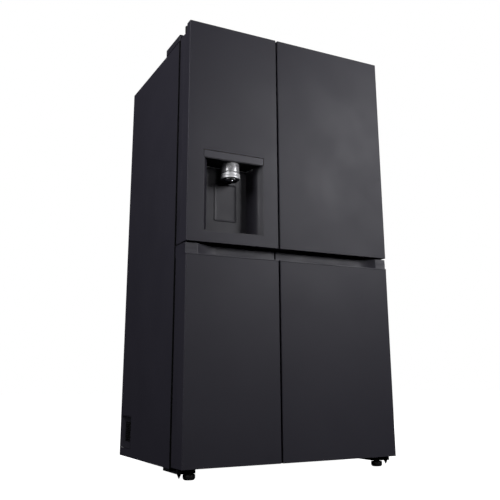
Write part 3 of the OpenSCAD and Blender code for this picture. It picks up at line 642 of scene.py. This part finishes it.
def dispenser_housing():
    """The recess, and the nook in its back wall that takes the paddle."""
    floor, ceiling = HOUSE_LOW.z + 0.0055, HOUSE_HIGH.z - 0.0015
    back = at(88)
    shell = box_mesh("house", (HOUSE_LOW.x, FRONT, HOUSE_LOW.z), (HOUSE_HIGH.x, back, HOUSE_HIGH.z))
    middle = (DISPENSER_X, 0, (PADDLE_LOW.z + PADDLE_HIGH.z) / 2)
    width, height = 2 * (PADDLE_HALF + NOOK_GAP), PADDLE_HIGH.z - PADDLE_LOW.z + 2 * NOOK_GAP
    boss = plate_prism("boss", width + 0.016, height + 0.005, 0.003, middle, back - 0.001, HOUSE_HIGH.y)
    shell = unite(shell, boss)
    hollow = ring_loft("hollow", [[Vector((p.x, p.y, z)) for p in recess_path()] for z in (floor, ceiling)])
    shell = subtract(shell, hollow)
    mesh = subtract(shell, plate_prism("nook", width, height, 0.008, middle, at(84), at(98.5)))
    mesh.name = "dispenser_recess"
    piece = add_piece("dispenser_recess", mesh, RECESS, "upper_left_door", "dark_trim", ["dispenser_housing"])
    bevelled(piece, 0.0006, 3)
    # A white strip along the top of the recess walls, standing in for the bright rim there: a painted highlight.
    line = [p for p in recess_path(0.0008) if p.y > FRONT + 0.040]
    rings = []
    for p, q in zip(line, line[1:] + [line[-1] * 2 - line[-2]]):
        ahead = (q - p).normalized()
        inward = Vector((ahead.y, -ahead.x, 0))
        if inward.dot(Vector((DISPENSER_X, FRONT + 0.02, 0)) - p) < 0:
            inward = -inward
        rings.append([p + inward * u + Vector((0, 0, v)) for u, v in
                      ((-0.0006, ceiling - 0.0098), (0.0018, ceiling - 0.0095), (0.0024, ceiling - 0.0080),
                       (0.0018, ceiling - 0.0062), (-0.0006, ceiling - 0.0058))])
    trim = ring_loft("dispenser_painted_highlight", rings)
    add_piece("dispenser_painted_highlight", trim, WHITE_PLASTIC, "upper_left_door", "dark_trim")
    plate = [p for p in recess_path(0.0002) if p.y > FRONT + 0.004]
    top = ring_loft("dispenser_ceiling", [[Vector((p.x, p.y, z)) for p in plate]
                                          for z in (ceiling - 0.0015, ceiling)])
    add_piece("dispenser_ceiling", top, SHADOW_GAP, "upper_left_door", "dark_trim")


def control_strip():
    width, _, height = size_of(STRIP_LOW, STRIP_HIGH)
    middle = middle_of(STRIP_LOW, STRIP_HIGH)
    backing = plate_prism("backing", width, height, 0.0010, middle, FRONT + 0.0022, STRIP_HIGH.y)
    add_piece("control_strip_backing", backing, SHADOW_GAP, "upper_left_door", "dark_trim")
    rings = [upright_ring(middle, FRONT + d, width - 2 * inset, height - 2 * inset, 0.0015)
             for inset, d in ((0.0014, 0.0030), (0.0014, 0.0008), (0.0016, 0.0003), (0.0021, 0.0))]
    strip = add_piece("control_strip_fine", ring_loft("control_strip_fine", rings), STRIP, "upper_left_door",
                      "dark_trim", ["dispenser_control_strip"])
    strip.modifiers.new("normals", "WEIGHTED_NORMAL").keep_sharp = True
    marks = []
    for i in range(5):
        spot = (STRIP_LOW.x + width * (0.18 + 0.16 * i), 0, middle[2])
        marks.append(ring_loft("mark", [upright_ring(spot, FRONT + d, 0.010, 0.0016, 0.0008, 4)
                                        for d in (0.00002, 0.0004)]))
    add_piece("control_touch_marks", joined("control_touch_marks", marks), GREY_PLASTIC, "upper_left_door",
              "dark_trim")


def nozzle():
    """Chrome collar with a grooved ring and a lightly fluted cup, round the chute; the ring's near-white colour is
    painted sheen and the cup's mottled light colour is painted reflection.
    """
    low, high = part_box("nozzle_collar")
    centre = (*middle_of(low, high)[:2], low.z)
    height = high.z - low.z
    ring = [(0.0302, 0.001), (0.0340, 0.0), (0.0368, 0.0004), (0.0379, 0.0016), (0.0380, 0.0095),
            (0.0374, 0.0103), (0.0380, 0.0112), (0.0380, 0.0195), (0.0372, 0.0212), (0.0350, 0.0220),
            (0.0322, 0.0222), (0.0318, 0.0232), (0.0318, 0.0256), (0.0350, 0.0262), (0.0359, 0.0276),
            (0.0358, 0.0300), (0.0346, height - 0.004), (0.0330, height - 0.001), (0.0302, height)]

    def flute(turn, radius, level):
        wave = eased((level - 0.027) / 0.006) * eased((height - level) / 0.006)
        return 1 - 0.018 * wave * (0.5 + 0.5 * math.cos(12 * turn))

    mesh = lathe("nozzle_collar_fine", ring, upright(centre), 96, flute)
    piece = add_piece("nozzle_collar_fine", mesh, CUP_PAINTED_REFLECTION, "upper_left_door", "collar_chrome", ["nozzle_collar"])
    # The ring below ring_top takes the near-white painted sheen; the cup above keeps the mottled painted
    # reflection.
    piece.data.materials.append(RING_PAINTED_SHEEN)
    ring_top = low.z + 0.0225
    for face in piece.data.polygons:
        face.material_index = 1 if face.center.z < ring_top else 0


def chute():
    """Black funnel that runs back behind the collar, and the duct above it."""
    low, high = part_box("nozzle_collar")
    cx, cy = middle_of(low, high)[:2]
    rear = cy + 0.012

    def plan(radius, grow, z, steps=24):
        points = []
        for i in range(steps + 1):
            a = math.pi * (1 + i / steps)
            points.append(Vector((cx + radius * math.cos(a), cy + radius * math.sin(a), z)))
        for i in range(steps + 1):
            a = math.pi * i / steps
            points.append(Vector((cx + (radius + grow) * math.cos(a), rear + (radius + grow) * math.sin(a), z)))
        return points

    base = low.z
    outer = [(0.0290, 0.0040, base + 0.054), (0.0290, 0.0045, base + 0.002), (0.0296, 0.0044, base - 0.0028),
             (0.0290, 0.0040, base - 0.0042), (0.0272, 0.0034, base - 0.0046), (0.0256, 0.0026, base - 0.0034),
             (0.0250, 0.0022, base + 0.006), (0.0246, 0.0006, base + 0.054)]
    rings = [plan(r, g, z) for r, g, z in outer]
    mesh = ring_loft("ice_chute_mouth", rings, caps=(False, False))
    add_piece("ice_chute_mouth", mesh, GLOSS, "upper_left_door", "dispenser_gloss")
    refine("ice_chute", GLOSS, 0.0003)
    spout_low, spout_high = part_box("water_spout")
    centre = (cx, spout_high.y - 0.006, spout_low.z)
    profile = [(0.0034, 0.0), (0.0050, 0.0), (0.0058, 0.0008), (0.0060, 0.0025), (0.0060, 0.010),
               (0.0054, 0.011), (0.0054, 0.049), (0.0034, 0.050)]
    spout = lathe("water_spout_fine", profile, upright(centre), 32)
    add_piece("water_spout_fine", spout, CHROME, "upper_left_door", "collar_chrome", ["water_spout"])


def paddle():
    """A shallow dished paddle with a rolled edge, on its pin."""
    low, high = PADDLE_LOW, PADDLE_HIGH
    width, height = 2 * PADDLE_HALF, high.z - low.z
    centre = (DISPENSER_X, 0, (low.z + high.z) / 2)
    rings = []
    steps = ((0.0012, 0.0040, 0.007), (0.0, 0.0030, 0.007), (0.0, 0.0008, 0.007), (0.0003, 0.0002, 0.0067),
             (0.0010, 0.0, 0.006), (0.0018, 0.0002, 0.0055), (0.0034, 0.0010, 0.005), (0.0120, 0.0013, 0.004),
             (0.0220, 0.0015, 0.004), (0.0350, 0.0016, 0.003))
    for inset, depth, radius in steps:
        rings.append(upright_ring(centre, low.y + depth, width - 2 * inset, height - 2 * inset, radius, 8))
    plate = ring_loft("paddle_plate", rings)
    pivot = next(j["pos_m"] for j in frame["joints"] if j["name"] == "paddle_press")
    pin = lathe("paddle_pin", [(0.0026, 0.0), (0.003, 0.0006), (0.003, high.x - low.x - 0.0006),
                               (0.0026, high.x - low.x)], along_x((low.x, pivot[1], pivot[2])), 24)
    boss = lathe("paddle_boss", [(0.0032, 0.0), (0.0038, 0.0008), (0.0038, width - 0.0048),
                                 (0.0032, width - 0.004)],
                 along_x((DISPENSER_X - PADDLE_HALF + 0.002, pivot[1] - 0.0012, pivot[2])), 24)
    mesh = joined("paddle_fine", [plate, pin, boss])
    add_piece("paddle_fine", mesh, RECESS, "paddle", "dark_trim", ["dispenser_paddle"])


def dispenser():
    dispenser_housing()
    control_strip()
    nozzle()
    chute()
    paddle()
    refine("drip_tray", RECESS, 0.0005)


# ---------------------------------------------------------------- hinges, feet, vents


def feet():
    for side in ("left", "right"):
        node = "front_foot_" + side
        centre = (*middle_of(*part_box(node))[:2], 0)
        pad = [(0.0160, 0.0), (0.0178, 0.0006), (0.0200, 0.0030), (0.0214, 0.0055), (0.0220, 0.0075),
               (0.0220, 0.0165), (0.0212, 0.0183), (0.0190, 0.0190), (0.0100, 0.0190), (0.0098, 0.0205)]
        stud = [(0.0050, 0.0205)]
        stud += [(0.0050 - 0.0006 * (i % 2), 0.0210 + 0.0008 * i) for i in range(19)]
        stud += [(0.0042, 0.0370)]

        def knurl(turn, radius, level):
            return 1 - (0.02 if radius > 0.0205 and math.sin(28 * turn) > 0.3 else 0)

        mesh = lathe(node + "_fine", pad + stud, upright(centre), 112, knurl)
        add_piece(node + "_fine", mesh, FOOT, node, "foot_rubber", [node])


def hinge_covers():
    low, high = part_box("hinge_covers")
    width, depth = 0.085, high.y - low.y
    for name, x0 in (("hinge_cover_left", low.x), ("hinge_cover_right", high.x - width)):
        middle = (x0 + width / 2, (low.y + high.y) / 2)
        rings = []
        for inset, z in ((0.0060, low.z), (0.0060, low.z + 0.0045), (0.0, low.z + 0.0050), (0.0, high.z - 0.0030),
                         (0.0004, high.z - 0.0014), (0.0014, high.z - 0.0004), (0.0032, high.z)):
            rings.append(level_ring(middle, z, width - 2 * inset, depth - 2 * inset, 0.005 - inset * 0.5, 6))
        stands = ["hinge_covers"] if name.endswith("left") else []
        add_piece(name, ring_loft(name, rings), COVER, "cabinet", "dark_trim", stands)
        spot = (middle[0], middle[1] + 0.055, high.z - 0.003)
        cap = screw(name + "_screw", spot, (0, 0, 1), 0.0048, 0.3)
        add_piece(name + "_screw", cap, BLACK_STEEL, "cabinet", "black_steel")


def hinges():
    refine("upper_hinges", BLACK_STEEL, 0.0005)
    refine("middle_hinges", BLACK_STEEL, 0.0004)
    refine("lower_hinges", BLACK_STEEL, 0.0006)
    screws = []
    for sign in (-1, 1):
        for i, y in enumerate((at(140), at(172))):
            screws.append(screw("s", (sign * 0.414, y, 0.022), (0, 0, -1), 0.005, i))
            screws.append(screw("s", (sign * 0.440, y, 0.022), (0, 0, -1), 0.005, i + 0.4))
    add_piece("lower_hinge_screws", joined("lower_hinge_screws", screws), ZINC, "cabinet", "black_steel")


def side_vents():
    """A dished frame in each side with slanted slats across its opening."""
    low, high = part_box("side_vents")
    _, depth, height = size_of(low, high)
    _, cy, cz = middle_of(low, high)
    inner_w, inner_h = 0.079, 0.081
    wall = 0.013
    for sign in (-1, 1):
        face = sign * high.x

        def spot(u, v, inward, shift=0.0):
            return Vector((face - sign * inward, cy + u + shift, cz + v))

        rings = []
        steps = ((depth, height, -0.0018, 0.0011, 0.0), (depth - 0.0030, height - 0.0030, 0.0, 0.0010, 0.0),
                 (depth - 0.0030, height - 0.0030, 0.0, 0.0, 0.0), (depth - 0.006, height - 0.006, 0.0, 0.0, 0.0),
                 (depth - 0.008, height - 0.008, 0.0, 0.0015, 0.0),
                 (depth - 0.016, height - 0.018, 0.004, 0.0040, 0.0), (0.098, 0.100, 0.004, 0.0085, 0.0015),
                 (0.086, 0.088, 0.004, 0.0105, 0.0025), (inner_w, inner_h, 0.003, 0.0112, 0.0035),
                 (inner_w, inner_h, 0.003, wall, 0.0035), (depth, height, -0.0018, wall, 0.0))
        for w, h, radius, inward, shift in steps:
            outline = rounded_ring(w, h, radius + 0.002, 5)
            rings.append([spot(u, v, inward, shift) for u, v in outline])
        rings.append(rings[0])
        name = "side_vent_" + ("left" if sign < 0 else "right")
        stands = ["side_vents"] if sign < 0 else []
        add_piece(name, ring_loft(name, rings, caps=(False, False)), VENT, "cabinet", "dark_trim", stands)
        slats = []
        for i in range(11):
            z = -inner_h / 2 + inner_h * (i + 0.5) / 11
            section = ((0.0096, z + 0.0030), (0.0104, z + 0.0036), (0.0128, z - 0.0008), (0.0122, z - 0.0016))
            slats.append(ring_loft("slat", [[spot(u, v, inward, 0.0035) for inward, v in section]
                                            for u in (-inner_w / 2 - 0.0005, inner_w / 2 + 0.0005)]))
        add_piece(name + "_slats", joined(name + "_slats", slats), SLAT, "cabinet", "dark_trim")


# ---------------------------------------------------------------- back and machine room


def back_panel():
    """Galvanised sheet with a pressed band round its middle."""
    low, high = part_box("back_panel")
    width, _, height = size_of(low, high)
    rings = []
    for w, h, y, radius in ((width, height, low.y, 0.001), (width, height, high.y, 0.001),
                            (width - 0.06, height - 0.06, high.y, 0.02),
                            (width - 0.068, height - 0.068, high.y - 0.0011, 0.02),
                            (width - 0.16, height - 0.16, high.y - 0.0011, 0.02),
                            (width - 0.168, height - 0.168, high.y, 0.02)):
        rings.append(upright_ring((0, 0, (low.z + high.z) / 2), y, w, h, radius))
    add_piece("back_panel_fine", ring_loft("back_panel_fine", rings), GALVANISED, "cabinet", "galvanised_steel",
              ["back_panel"])


def machine_room():
    compressor()
    condenser()
    for node, material in (("power_inlet", GLOSS), ("evaporator", ALUMINIUM), ("fan_motors", BLACK_STEEL)):
        refine(node, material, 0.0004)
    valve()
    fan("condenser_fan")
    fan("evaporator_fan")
    low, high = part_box("machine_cover")
    screws = []
    for x in (-0.43, -0.2, 0.0, 0.2, 0.43):
        for z in (low.z + 0.012, high.z - 0.012):
            screws.append(screw("s", (x, high.y, z), (0, 1, 0), 0.005, x * 9))
    add_piece("machine_cover_screws", joined("machine_cover_screws", screws), ZINC, "cabinet", "black_steel")


def compressor():
    low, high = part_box("compressor")
    centre = (*middle_of(low, high)[:2], 0)
    top = high.z
    profile = [(0.030, 0.050), (0.058, 0.051), (0.066, 0.058), (0.0715, 0.075), (0.073, 0.090), (0.073, 0.138),
               (0.0775, 0.140), (0.0779, 0.1435), (0.0775, 0.147), (0.074, 0.149), (0.074, top - 0.050),
               (0.0715, top - 0.036), (0.064, top - 0.020), (0.050, top - 0.009), (0.030, top - 0.002),
               (0.010, top)]
    parts = [lathe("drum", profile, upright(centre), 72)]
    mount = [(0.0095, 0.0), (0.010, 0.001), (0.010, 0.006), (0.0078, 0.008), (0.010, 0.010), (0.010, 0.020),
             (0.006, 0.022)]
    for sx in (-1, 1):
        for sy in (-1, 1):
            spot = (centre[0] + sx * 0.062, centre[1] + sy * 0.062, low.z)
            parts.append(lathe("mount", mount, upright(spot), 24))
    parts.append(ring_loft("plate", [level_ring(centre, z, 0.150, 0.150, 0.02) for z in (0.045, 0.051)]))
    add_piece("compressor_fine", joined("compressor_fine", parts), BLACK_STEEL, "cabinet", "compressor_paint",
              ["compressor"])
    pipe = smooth_path([Vector((centre[0] + 0.060, centre[1] + 0.02, 0.17)),
                        Vector((centre[0] + 0.105, centre[1] + 0.02, 0.17)),
                        Vector((centre[0] + 0.105, centre[1] + 0.02, 0.262)),
                        Vector((centre[0] + 0.20, centre[1] + 0.02, 0.262))], 0.02)
    add_piece("compressor_pipe", tube("compressor_pipe", pipe, 0.0032), COPPER, "cabinet", "black_steel")


def condenser():
    """Tube rows with return bends between two end plates."""
    low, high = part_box("condenser_coil")
    parts = []
    for row in range(3):
        y = low.y + 0.020 + 0.05 * row
        points = []
        for i in range(6):
            z = 0.070 + 0.033 * i
            ends = [Vector((low.x + 0.002, y, z)), Vector((high.x - 0.002, y, z))]
            points += ends if i % 2 == 0 else ends[::-1]
        parts.append(tube("row", smooth_path(points, 0.012, 4), 0.004, 12))
    for x in (low.x, high.x - 0.004):
        outline = rounded_ring(high.y - low.y, high.z - low.z, 0.006, 4)
        parts.append(ring_loft("plate", [[Vector((x + t, (low.y + high.y) / 2 + u, (low.z + high.z) / 2 + v))
                                          for u, v in outline] for t in (0.0, 0.0012)]))
    add_piece("condenser_fine", joined("condenser_fine", parts), BLACK_STEEL, "cabinet", "black_steel",
              ["condenser_coil"])


def fan(node, blades=7, sweep=0.55):
    """A wheel of twisted blades round a domed hub."""
    low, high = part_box(node)
    joint = next(j for j in frame["joints"] if j["child"] == node)
    centre = Vector(joint["pos_m"])
    axis = 0 if abs(joint["axis"][0]) > 0.5 else 1
    place = along_x if axis == 0 else along_y
    start = low[axis]
    thick = high[axis] - low[axis]
    radius = (high.z - low.z) / 2 * 0.985
    base = list(centre)
    base[axis] = start
    spot = place(base)
    hub_r = radius * 0.30
    parts = [lathe("hub", [(0.0027, 0.0), (hub_r * 0.96, 0.0), (hub_r, 0.001), (hub_r, thick * 0.8),
                           (hub_r * 0.9, thick * 0.95), (0.0027, thick)], spot, 40)]
    for b in range(blades):
        rings = []
        for i in range(8):
            t = i / 7
            r = hub_r * 0.94 + (radius - hub_r * 0.94) * t
            turn = 2 * math.pi * b / blades + sweep * t
            spread = (0.34 - 0.06 * t) * 2 * math.pi / blades * 1.5
            ring = []
            for u, side in ((-1, 1), (-0.4, 1), (0.3, 1), (1, 1), (1, -1), (0.3, -1), (-0.4, -1), (-1, -1)):
                a = turn + spread * u * 0.5
                lift = thick * (0.5 + 0.36 * u * (1 - 0.25 * t)) + side * 0.0007
                ring.append(spot(r * math.cos(a), r * math.sin(a), lift))
            rings.append(ring)
        parts.append(ring_loft("blade", rings))
    add_piece(node + "_fine", joined(node + "_fine", parts), GREY_PLASTIC, node, "fan_plastic", [node])


def valve():
    """Water valve: body, nut and threaded stub."""
    refine("water_valve", WHITE_PLASTIC, 0.0006)
    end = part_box("water_valve")[1].y
    threads = [(0.0118, -0.0185)]
    for i in range(9):
        level = -0.0180 + 0.0018 * i
        threads += [(0.01325, level), (0.01325, level + 0.0004), (0.0124, level + 0.0009),
                    (0.0124, level + 0.0014)]
    threads += [(0.0128, -0.0010), (0.0120, 0.0), (0.0080, 0.0), (0.0078, -0.004)]
    mesh = lathe("valve_thread", threads, along_y((0.405, end, 0.105)), 48)
    add_piece("valve_thread", mesh, WHITE_PLASTIC, "cabinet", "fan_plastic")


# ---------------------------------------------------------------- inside


def tub(name, low, high, wall, radius, draft=0.0):
    """An open-topped tray with rounded corners and a rolled rim."""
    middle = middle_of(low, high)
    width, depth, _ = size_of(low, high)
    steps = ((0.003 + draft, low.z), (0.0008 + draft, low.z + 0.0012), (draft, low.z + 0.004),
             (wall * 0.4, high.z - 0.008), (0.0, high.z - 0.0065), (0.0, high.z - 0.0012), (0.0008, high.z),
             (wall, high.z), (wall + 0.0008, high.z - 0.0012), (wall + 0.001 + draft * 0.2, high.z - 0.012),
             (wall + draft, low.z + wall + 0.006), (wall + 0.002 + draft, low.z + wall + 0.0015),
             (wall + 0.006 + draft, low.z + wall))
    return ring_loft(name, [level_ring(middle, z, width - 2 * inset, depth - 2 * inset, radius - inset * 0.5)
                            for inset, z in steps])


def island_boxes(node):
    """The low and high corner of each separate solid of a CAD node."""
    work = bmesh.new()
    work.from_mesh(frame["nodes"][node].data)
    bmesh.ops.remove_doubles(work, verts=work.verts, dist=0.00001)
    left = set(work.verts)
    boxes = []
    while left:
        stack = [left.pop()]
        members = []
        while stack:
            vert = stack.pop()
            members.append(vert.co.copy())
            for edge in vert.link_edges:
                other = edge.other_vert(vert)
                if other in left:
                    left.remove(other)
                    stack.append(other)
        boxes.append((Vector([min(p[i] for p in members) for i in range(3)]),
                      Vector([max(p[i] for p in members) for i in range(3)])))
    work.free()
    return sorted(boxes, key=lambda b: (round(b[0].z, 4), round(b[0].x, 4)))


def bins():
    for node in ("upper_left_door_bins", "upper_right_door_bins", "ice_bin"):
        for i, (low, high) in enumerate(island_boxes(node)):
            name = node + "_" + str(i + 1)
            stands = [node] if i == 0 else []
            body = body_of(node)
            add_piece(name, tub(name, low, high, 0.0025, 0.014, 0.002), CLEAR, body, "clear_plastic", stands)
            middle = ((low.x + high.x) / 2, 0, high.z - 0.022)
            width, face = high.x - low.x - 0.028, high.y - 0.0002
            rings = [upright_ring(middle, y, width - 2 * inset, 0.020 - 2 * inset, 0.004, 4)
                     for inset, y in ((0.0, face - 0.0012), (0.0, face - 0.0002), (0.0012, face))]
            add_piece(name + "_band", ring_loft(name + "_band", rings), ALUMINIUM, body, "clear_plastic")


def drawers():
    for node in ("crisper_upper", "crisper_lower", "freezer_drawer_upper", "freezer_drawer_lower"):
        low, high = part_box(node)
        inset = 0.012
        body_low = Vector((low.x + inset, low.y + 0.003, low.z))
        body_high = Vector((high.x - inset, high.y, high.z))
        parts = [tub(node, body_low, body_high, 0.003, 0.012, 0.003)]
        for x0, x1 in ((low.x, low.x + inset + 0.002), (high.x - inset - 0.002, high.x)):
            spot = ((x0 + x1) / 2, 0, high.z - 0.0015)
            parts.append(ring_loft("flange", [upright_ring(spot, y, x1 - x0, 0.0028, 0.0012, 3)
                                              for y in (low.y + 0.012, high.y)]))
        add_piece(node + "_fine", joined(node + "_fine", parts), CLEAR, node, "clear_plastic", [node])
        width, height = body_high.x - body_low.x, high.z - low.z
        rings = [upright_ring(middle_of(low, high), y, w, h, radius)
                 for w, h, y, radius in ((width, height - 0.006, low.y + 0.0035, 0.008),
                                         (width, height - 0.006, low.y + 0.0012, 0.008),
                                         (width - 0.003, height - 0.009, low.y, 0.007))]
        add_piece(node + "_front", ring_loft(node + "_front", rings), WHITE_PLASTIC, node, "clear_plastic")


def shelves():
    for i, (low, high) in enumerate(island_boxes("glass_shelves")):
        name = "shelf_glass_" + str(i + 1)
        width, depth, _ = size_of(low, high)
        steps = ((0.0012, low.z), (0.0002, low.z + 0.0008), (0.0002, high.z - 0.0008), (0.0012, high.z))
        rings = [level_ring(middle_of(low, high), z, width - 2 * inset, depth - 2 * inset, 0.004, 4)
                 for inset, z in steps]
        stands = ["glass_shelves"] if i == 0 else []
        add_piece(name, ring_loft(name, rings), GLASS, "cabinet", "shelf_glass", stands)
        trim = []
        for x in (low.x + 0.0004, high.x - 0.0004):
            section = ((-0.001, -0.004), (-0.001, 0.0055), (0.0005, 0.0068), (0.009, 0.0068), (0.0098, 0.006),
                       (0.0098, 0.0052), (0.0006, 0.0052), (0.0006, -0.0002), (0.010, -0.0002), (0.010, -0.003),
                       (0.009, -0.004))
            trim.append([Vector((x, low.y + u, low.z + v)) for u, v in section])
        add_piece(name + "_trim", ring_loft(name + "_trim", trim), WHITE_PLASTIC, "cabinet", "liner_white")


def rollers():
    low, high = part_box("rear_rollers")
    _, centre_y, centre_z = middle_of(low, high)
    length = high.x - low.x
    parts = [lathe("axle", [(0.003, 0.0), (0.004, 0.001), (0.004, length - 0.001), (0.003, length)],
                   along_x((low.x, centre_y, centre_z)), 24)]
    tyre = [(0.005, 0.0), (0.0125, 0.0002), (0.0138, 0.0012), (0.0140, 0.0030), (0.0140, 0.0105),
            (0.0134, 0.0115), (0.0134, 0.0135), (0.0140, 0.0145), (0.0140, 0.0220), (0.0138, 0.0238),
            (0.0125, 0.0248), (0.005, 0.025)]
    for x in (-0.345, 0.320):
        parts.append(lathe("roller", tyre, along_x((x, centre_y, centre_z)), 48))
    add_piece("rear_rollers_fine", joined("rear_rollers_fine", parts), FOOT, "rear_rollers", "roller_plastic",
              ["rear_rollers"])


# ---------------------------------------------------------------- stage, lights and camera

CAMERA_AT = Vector((-1.36084, -2.69108, 0.31690))
CAMERA_YAW = math.radians(27.7204)
CAMERA_PITCH = math.radians(14.532)
CAMERA_ROLL = math.radians(-0.4888)
CAMERA_LENS = 49.459
CAMERA_SHIFT = (-0.02366, -0.08532)


def camera():
    data = bpy.data.cameras.new("camera")
    data.sensor_width = 36
    data.lens = CAMERA_LENS
    data.shift_x, data.shift_y = CAMERA_SHIFT
    data.clip_end = 200
    flat = math.cos(CAMERA_PITCH)
    ahead = Vector((math.sin(CAMERA_YAW) * flat, math.cos(CAMERA_YAW) * flat, math.sin(CAMERA_PITCH)))
    level = Vector((math.cos(CAMERA_YAW), -math.sin(CAMERA_YAW), 0))
    over = level.cross(ahead)
    across = level * math.cos(CAMERA_ROLL) + over * math.sin(CAMERA_ROLL)
    over = over * math.cos(CAMERA_ROLL) - level * math.sin(CAMERA_ROLL)
    turn = Matrix((across, over, -ahead)).transposed()
    view = bpy.data.objects.new("camera", data)
    view.matrix_world = Matrix.Translation(CAMERA_AT) @ turn.to_4x4()
    bpy.context.scene.collection.objects.link(view)
    bpy.context.scene.camera = view


def softbox(name, place, target, size, power, tint=(1, 1, 1)):
    data = bpy.data.lights.new(name, "AREA")
    data.shape = "RECTANGLE"
    data.size, data.size_y = size
    data.energy = power
    data.color = tint
    light = bpy.data.objects.new(name, data)
    light.location = place
    light.rotation_euler = (Vector(target) - Vector(place)).to_track_quat("-Z", "Y").to_euler()
    bpy.context.scene.collection.objects.link(light)
    return light


def studio():
    scene = bpy.context.scene
    scene.view_settings.view_transform = "Standard"
    world = bpy.data.worlds.new("studio")
    world.use_nodes = True
    world.node_tree.nodes["Background"].inputs["Color"].default_value = (1.0, 1.0, 1.0, 1)
    world.node_tree.nodes["Background"].inputs["Strength"].default_value = 1.0
    world.cycles_visibility.diffuse = False
    world.cycles_visibility.glossy = False
    scene.world = world
    outline = rounded_ring(60, 60, 29, 16)
    floor = mesh_of("floor", [(x, y, -0.0005) for x, y in outline], [tuple(range(len(outline)))])
    stand = bpy.data.objects.new("floor", floor)
    scene.collection.objects.link(stand)
    floor.materials.append(surface("pale_floor", (0.50, 0.50, 0.50), drift=0.01, drift_scale=0.6, rough=0.8,
                                   grain_scale=60.0, grain=0.02, Specular_IOR_Level=0.1,
                                   Emission_Color=(1, 1, 1, 1), Emission_Strength=1.02))
    stand.visible_diffuse = False
    stand.visible_glossy = False
    stand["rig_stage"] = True
    softbox("key", (2.3, -3.3, 2.3), (0.3, -0.36, 1.4), (1.4, 1.4), 78, (0.97, 0.97, 1.0))
    softbox("left", (-3.4, -0.9, 2.6), (-0.456, 0.05, 1.2), (1.8, 1.8), 78, (0.97, 0.97, 1.0))
    softbox("front", (0.1, -4.0, 1.9), (-0.2, -0.36, 1.3), (1.2, 1.2), 8)
    softbox("back", (1.5, 3.2, 2.6), (0, 0.4, 0.9), (2.4, 2.4), 45)
    softbox("right", (3.0, 1.6, 2.0), (0.456, 0.2, 0.9), (2.0, 2.0), 40)
    softbox("overhead", (0, 0.2, 4.2), (0, 0.2, 0), (4.0, 4.0), 10)
    card = softbox("card", (-2.2, -2.2, 1.3), (-0.26, -0.35, 1.13), (1.0, 1.6), 9)
    card.visible_diffuse = False


cabinet()
doors()
upper_frames()
pocket_handle("lower_left_door", -1)
pocket_handle("lower_right_door", 1)
dispenser()
feet()
hinge_covers()
hinges()
side_vents()
back_panel()
machine_room()
bins()
drawers()
shelves()
rollers()
studio()
camera()

low, high = (Vector(corner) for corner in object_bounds())
{"cad": [list(cad_low), list(cad_high)], "visual": [list(low), list(high)]}
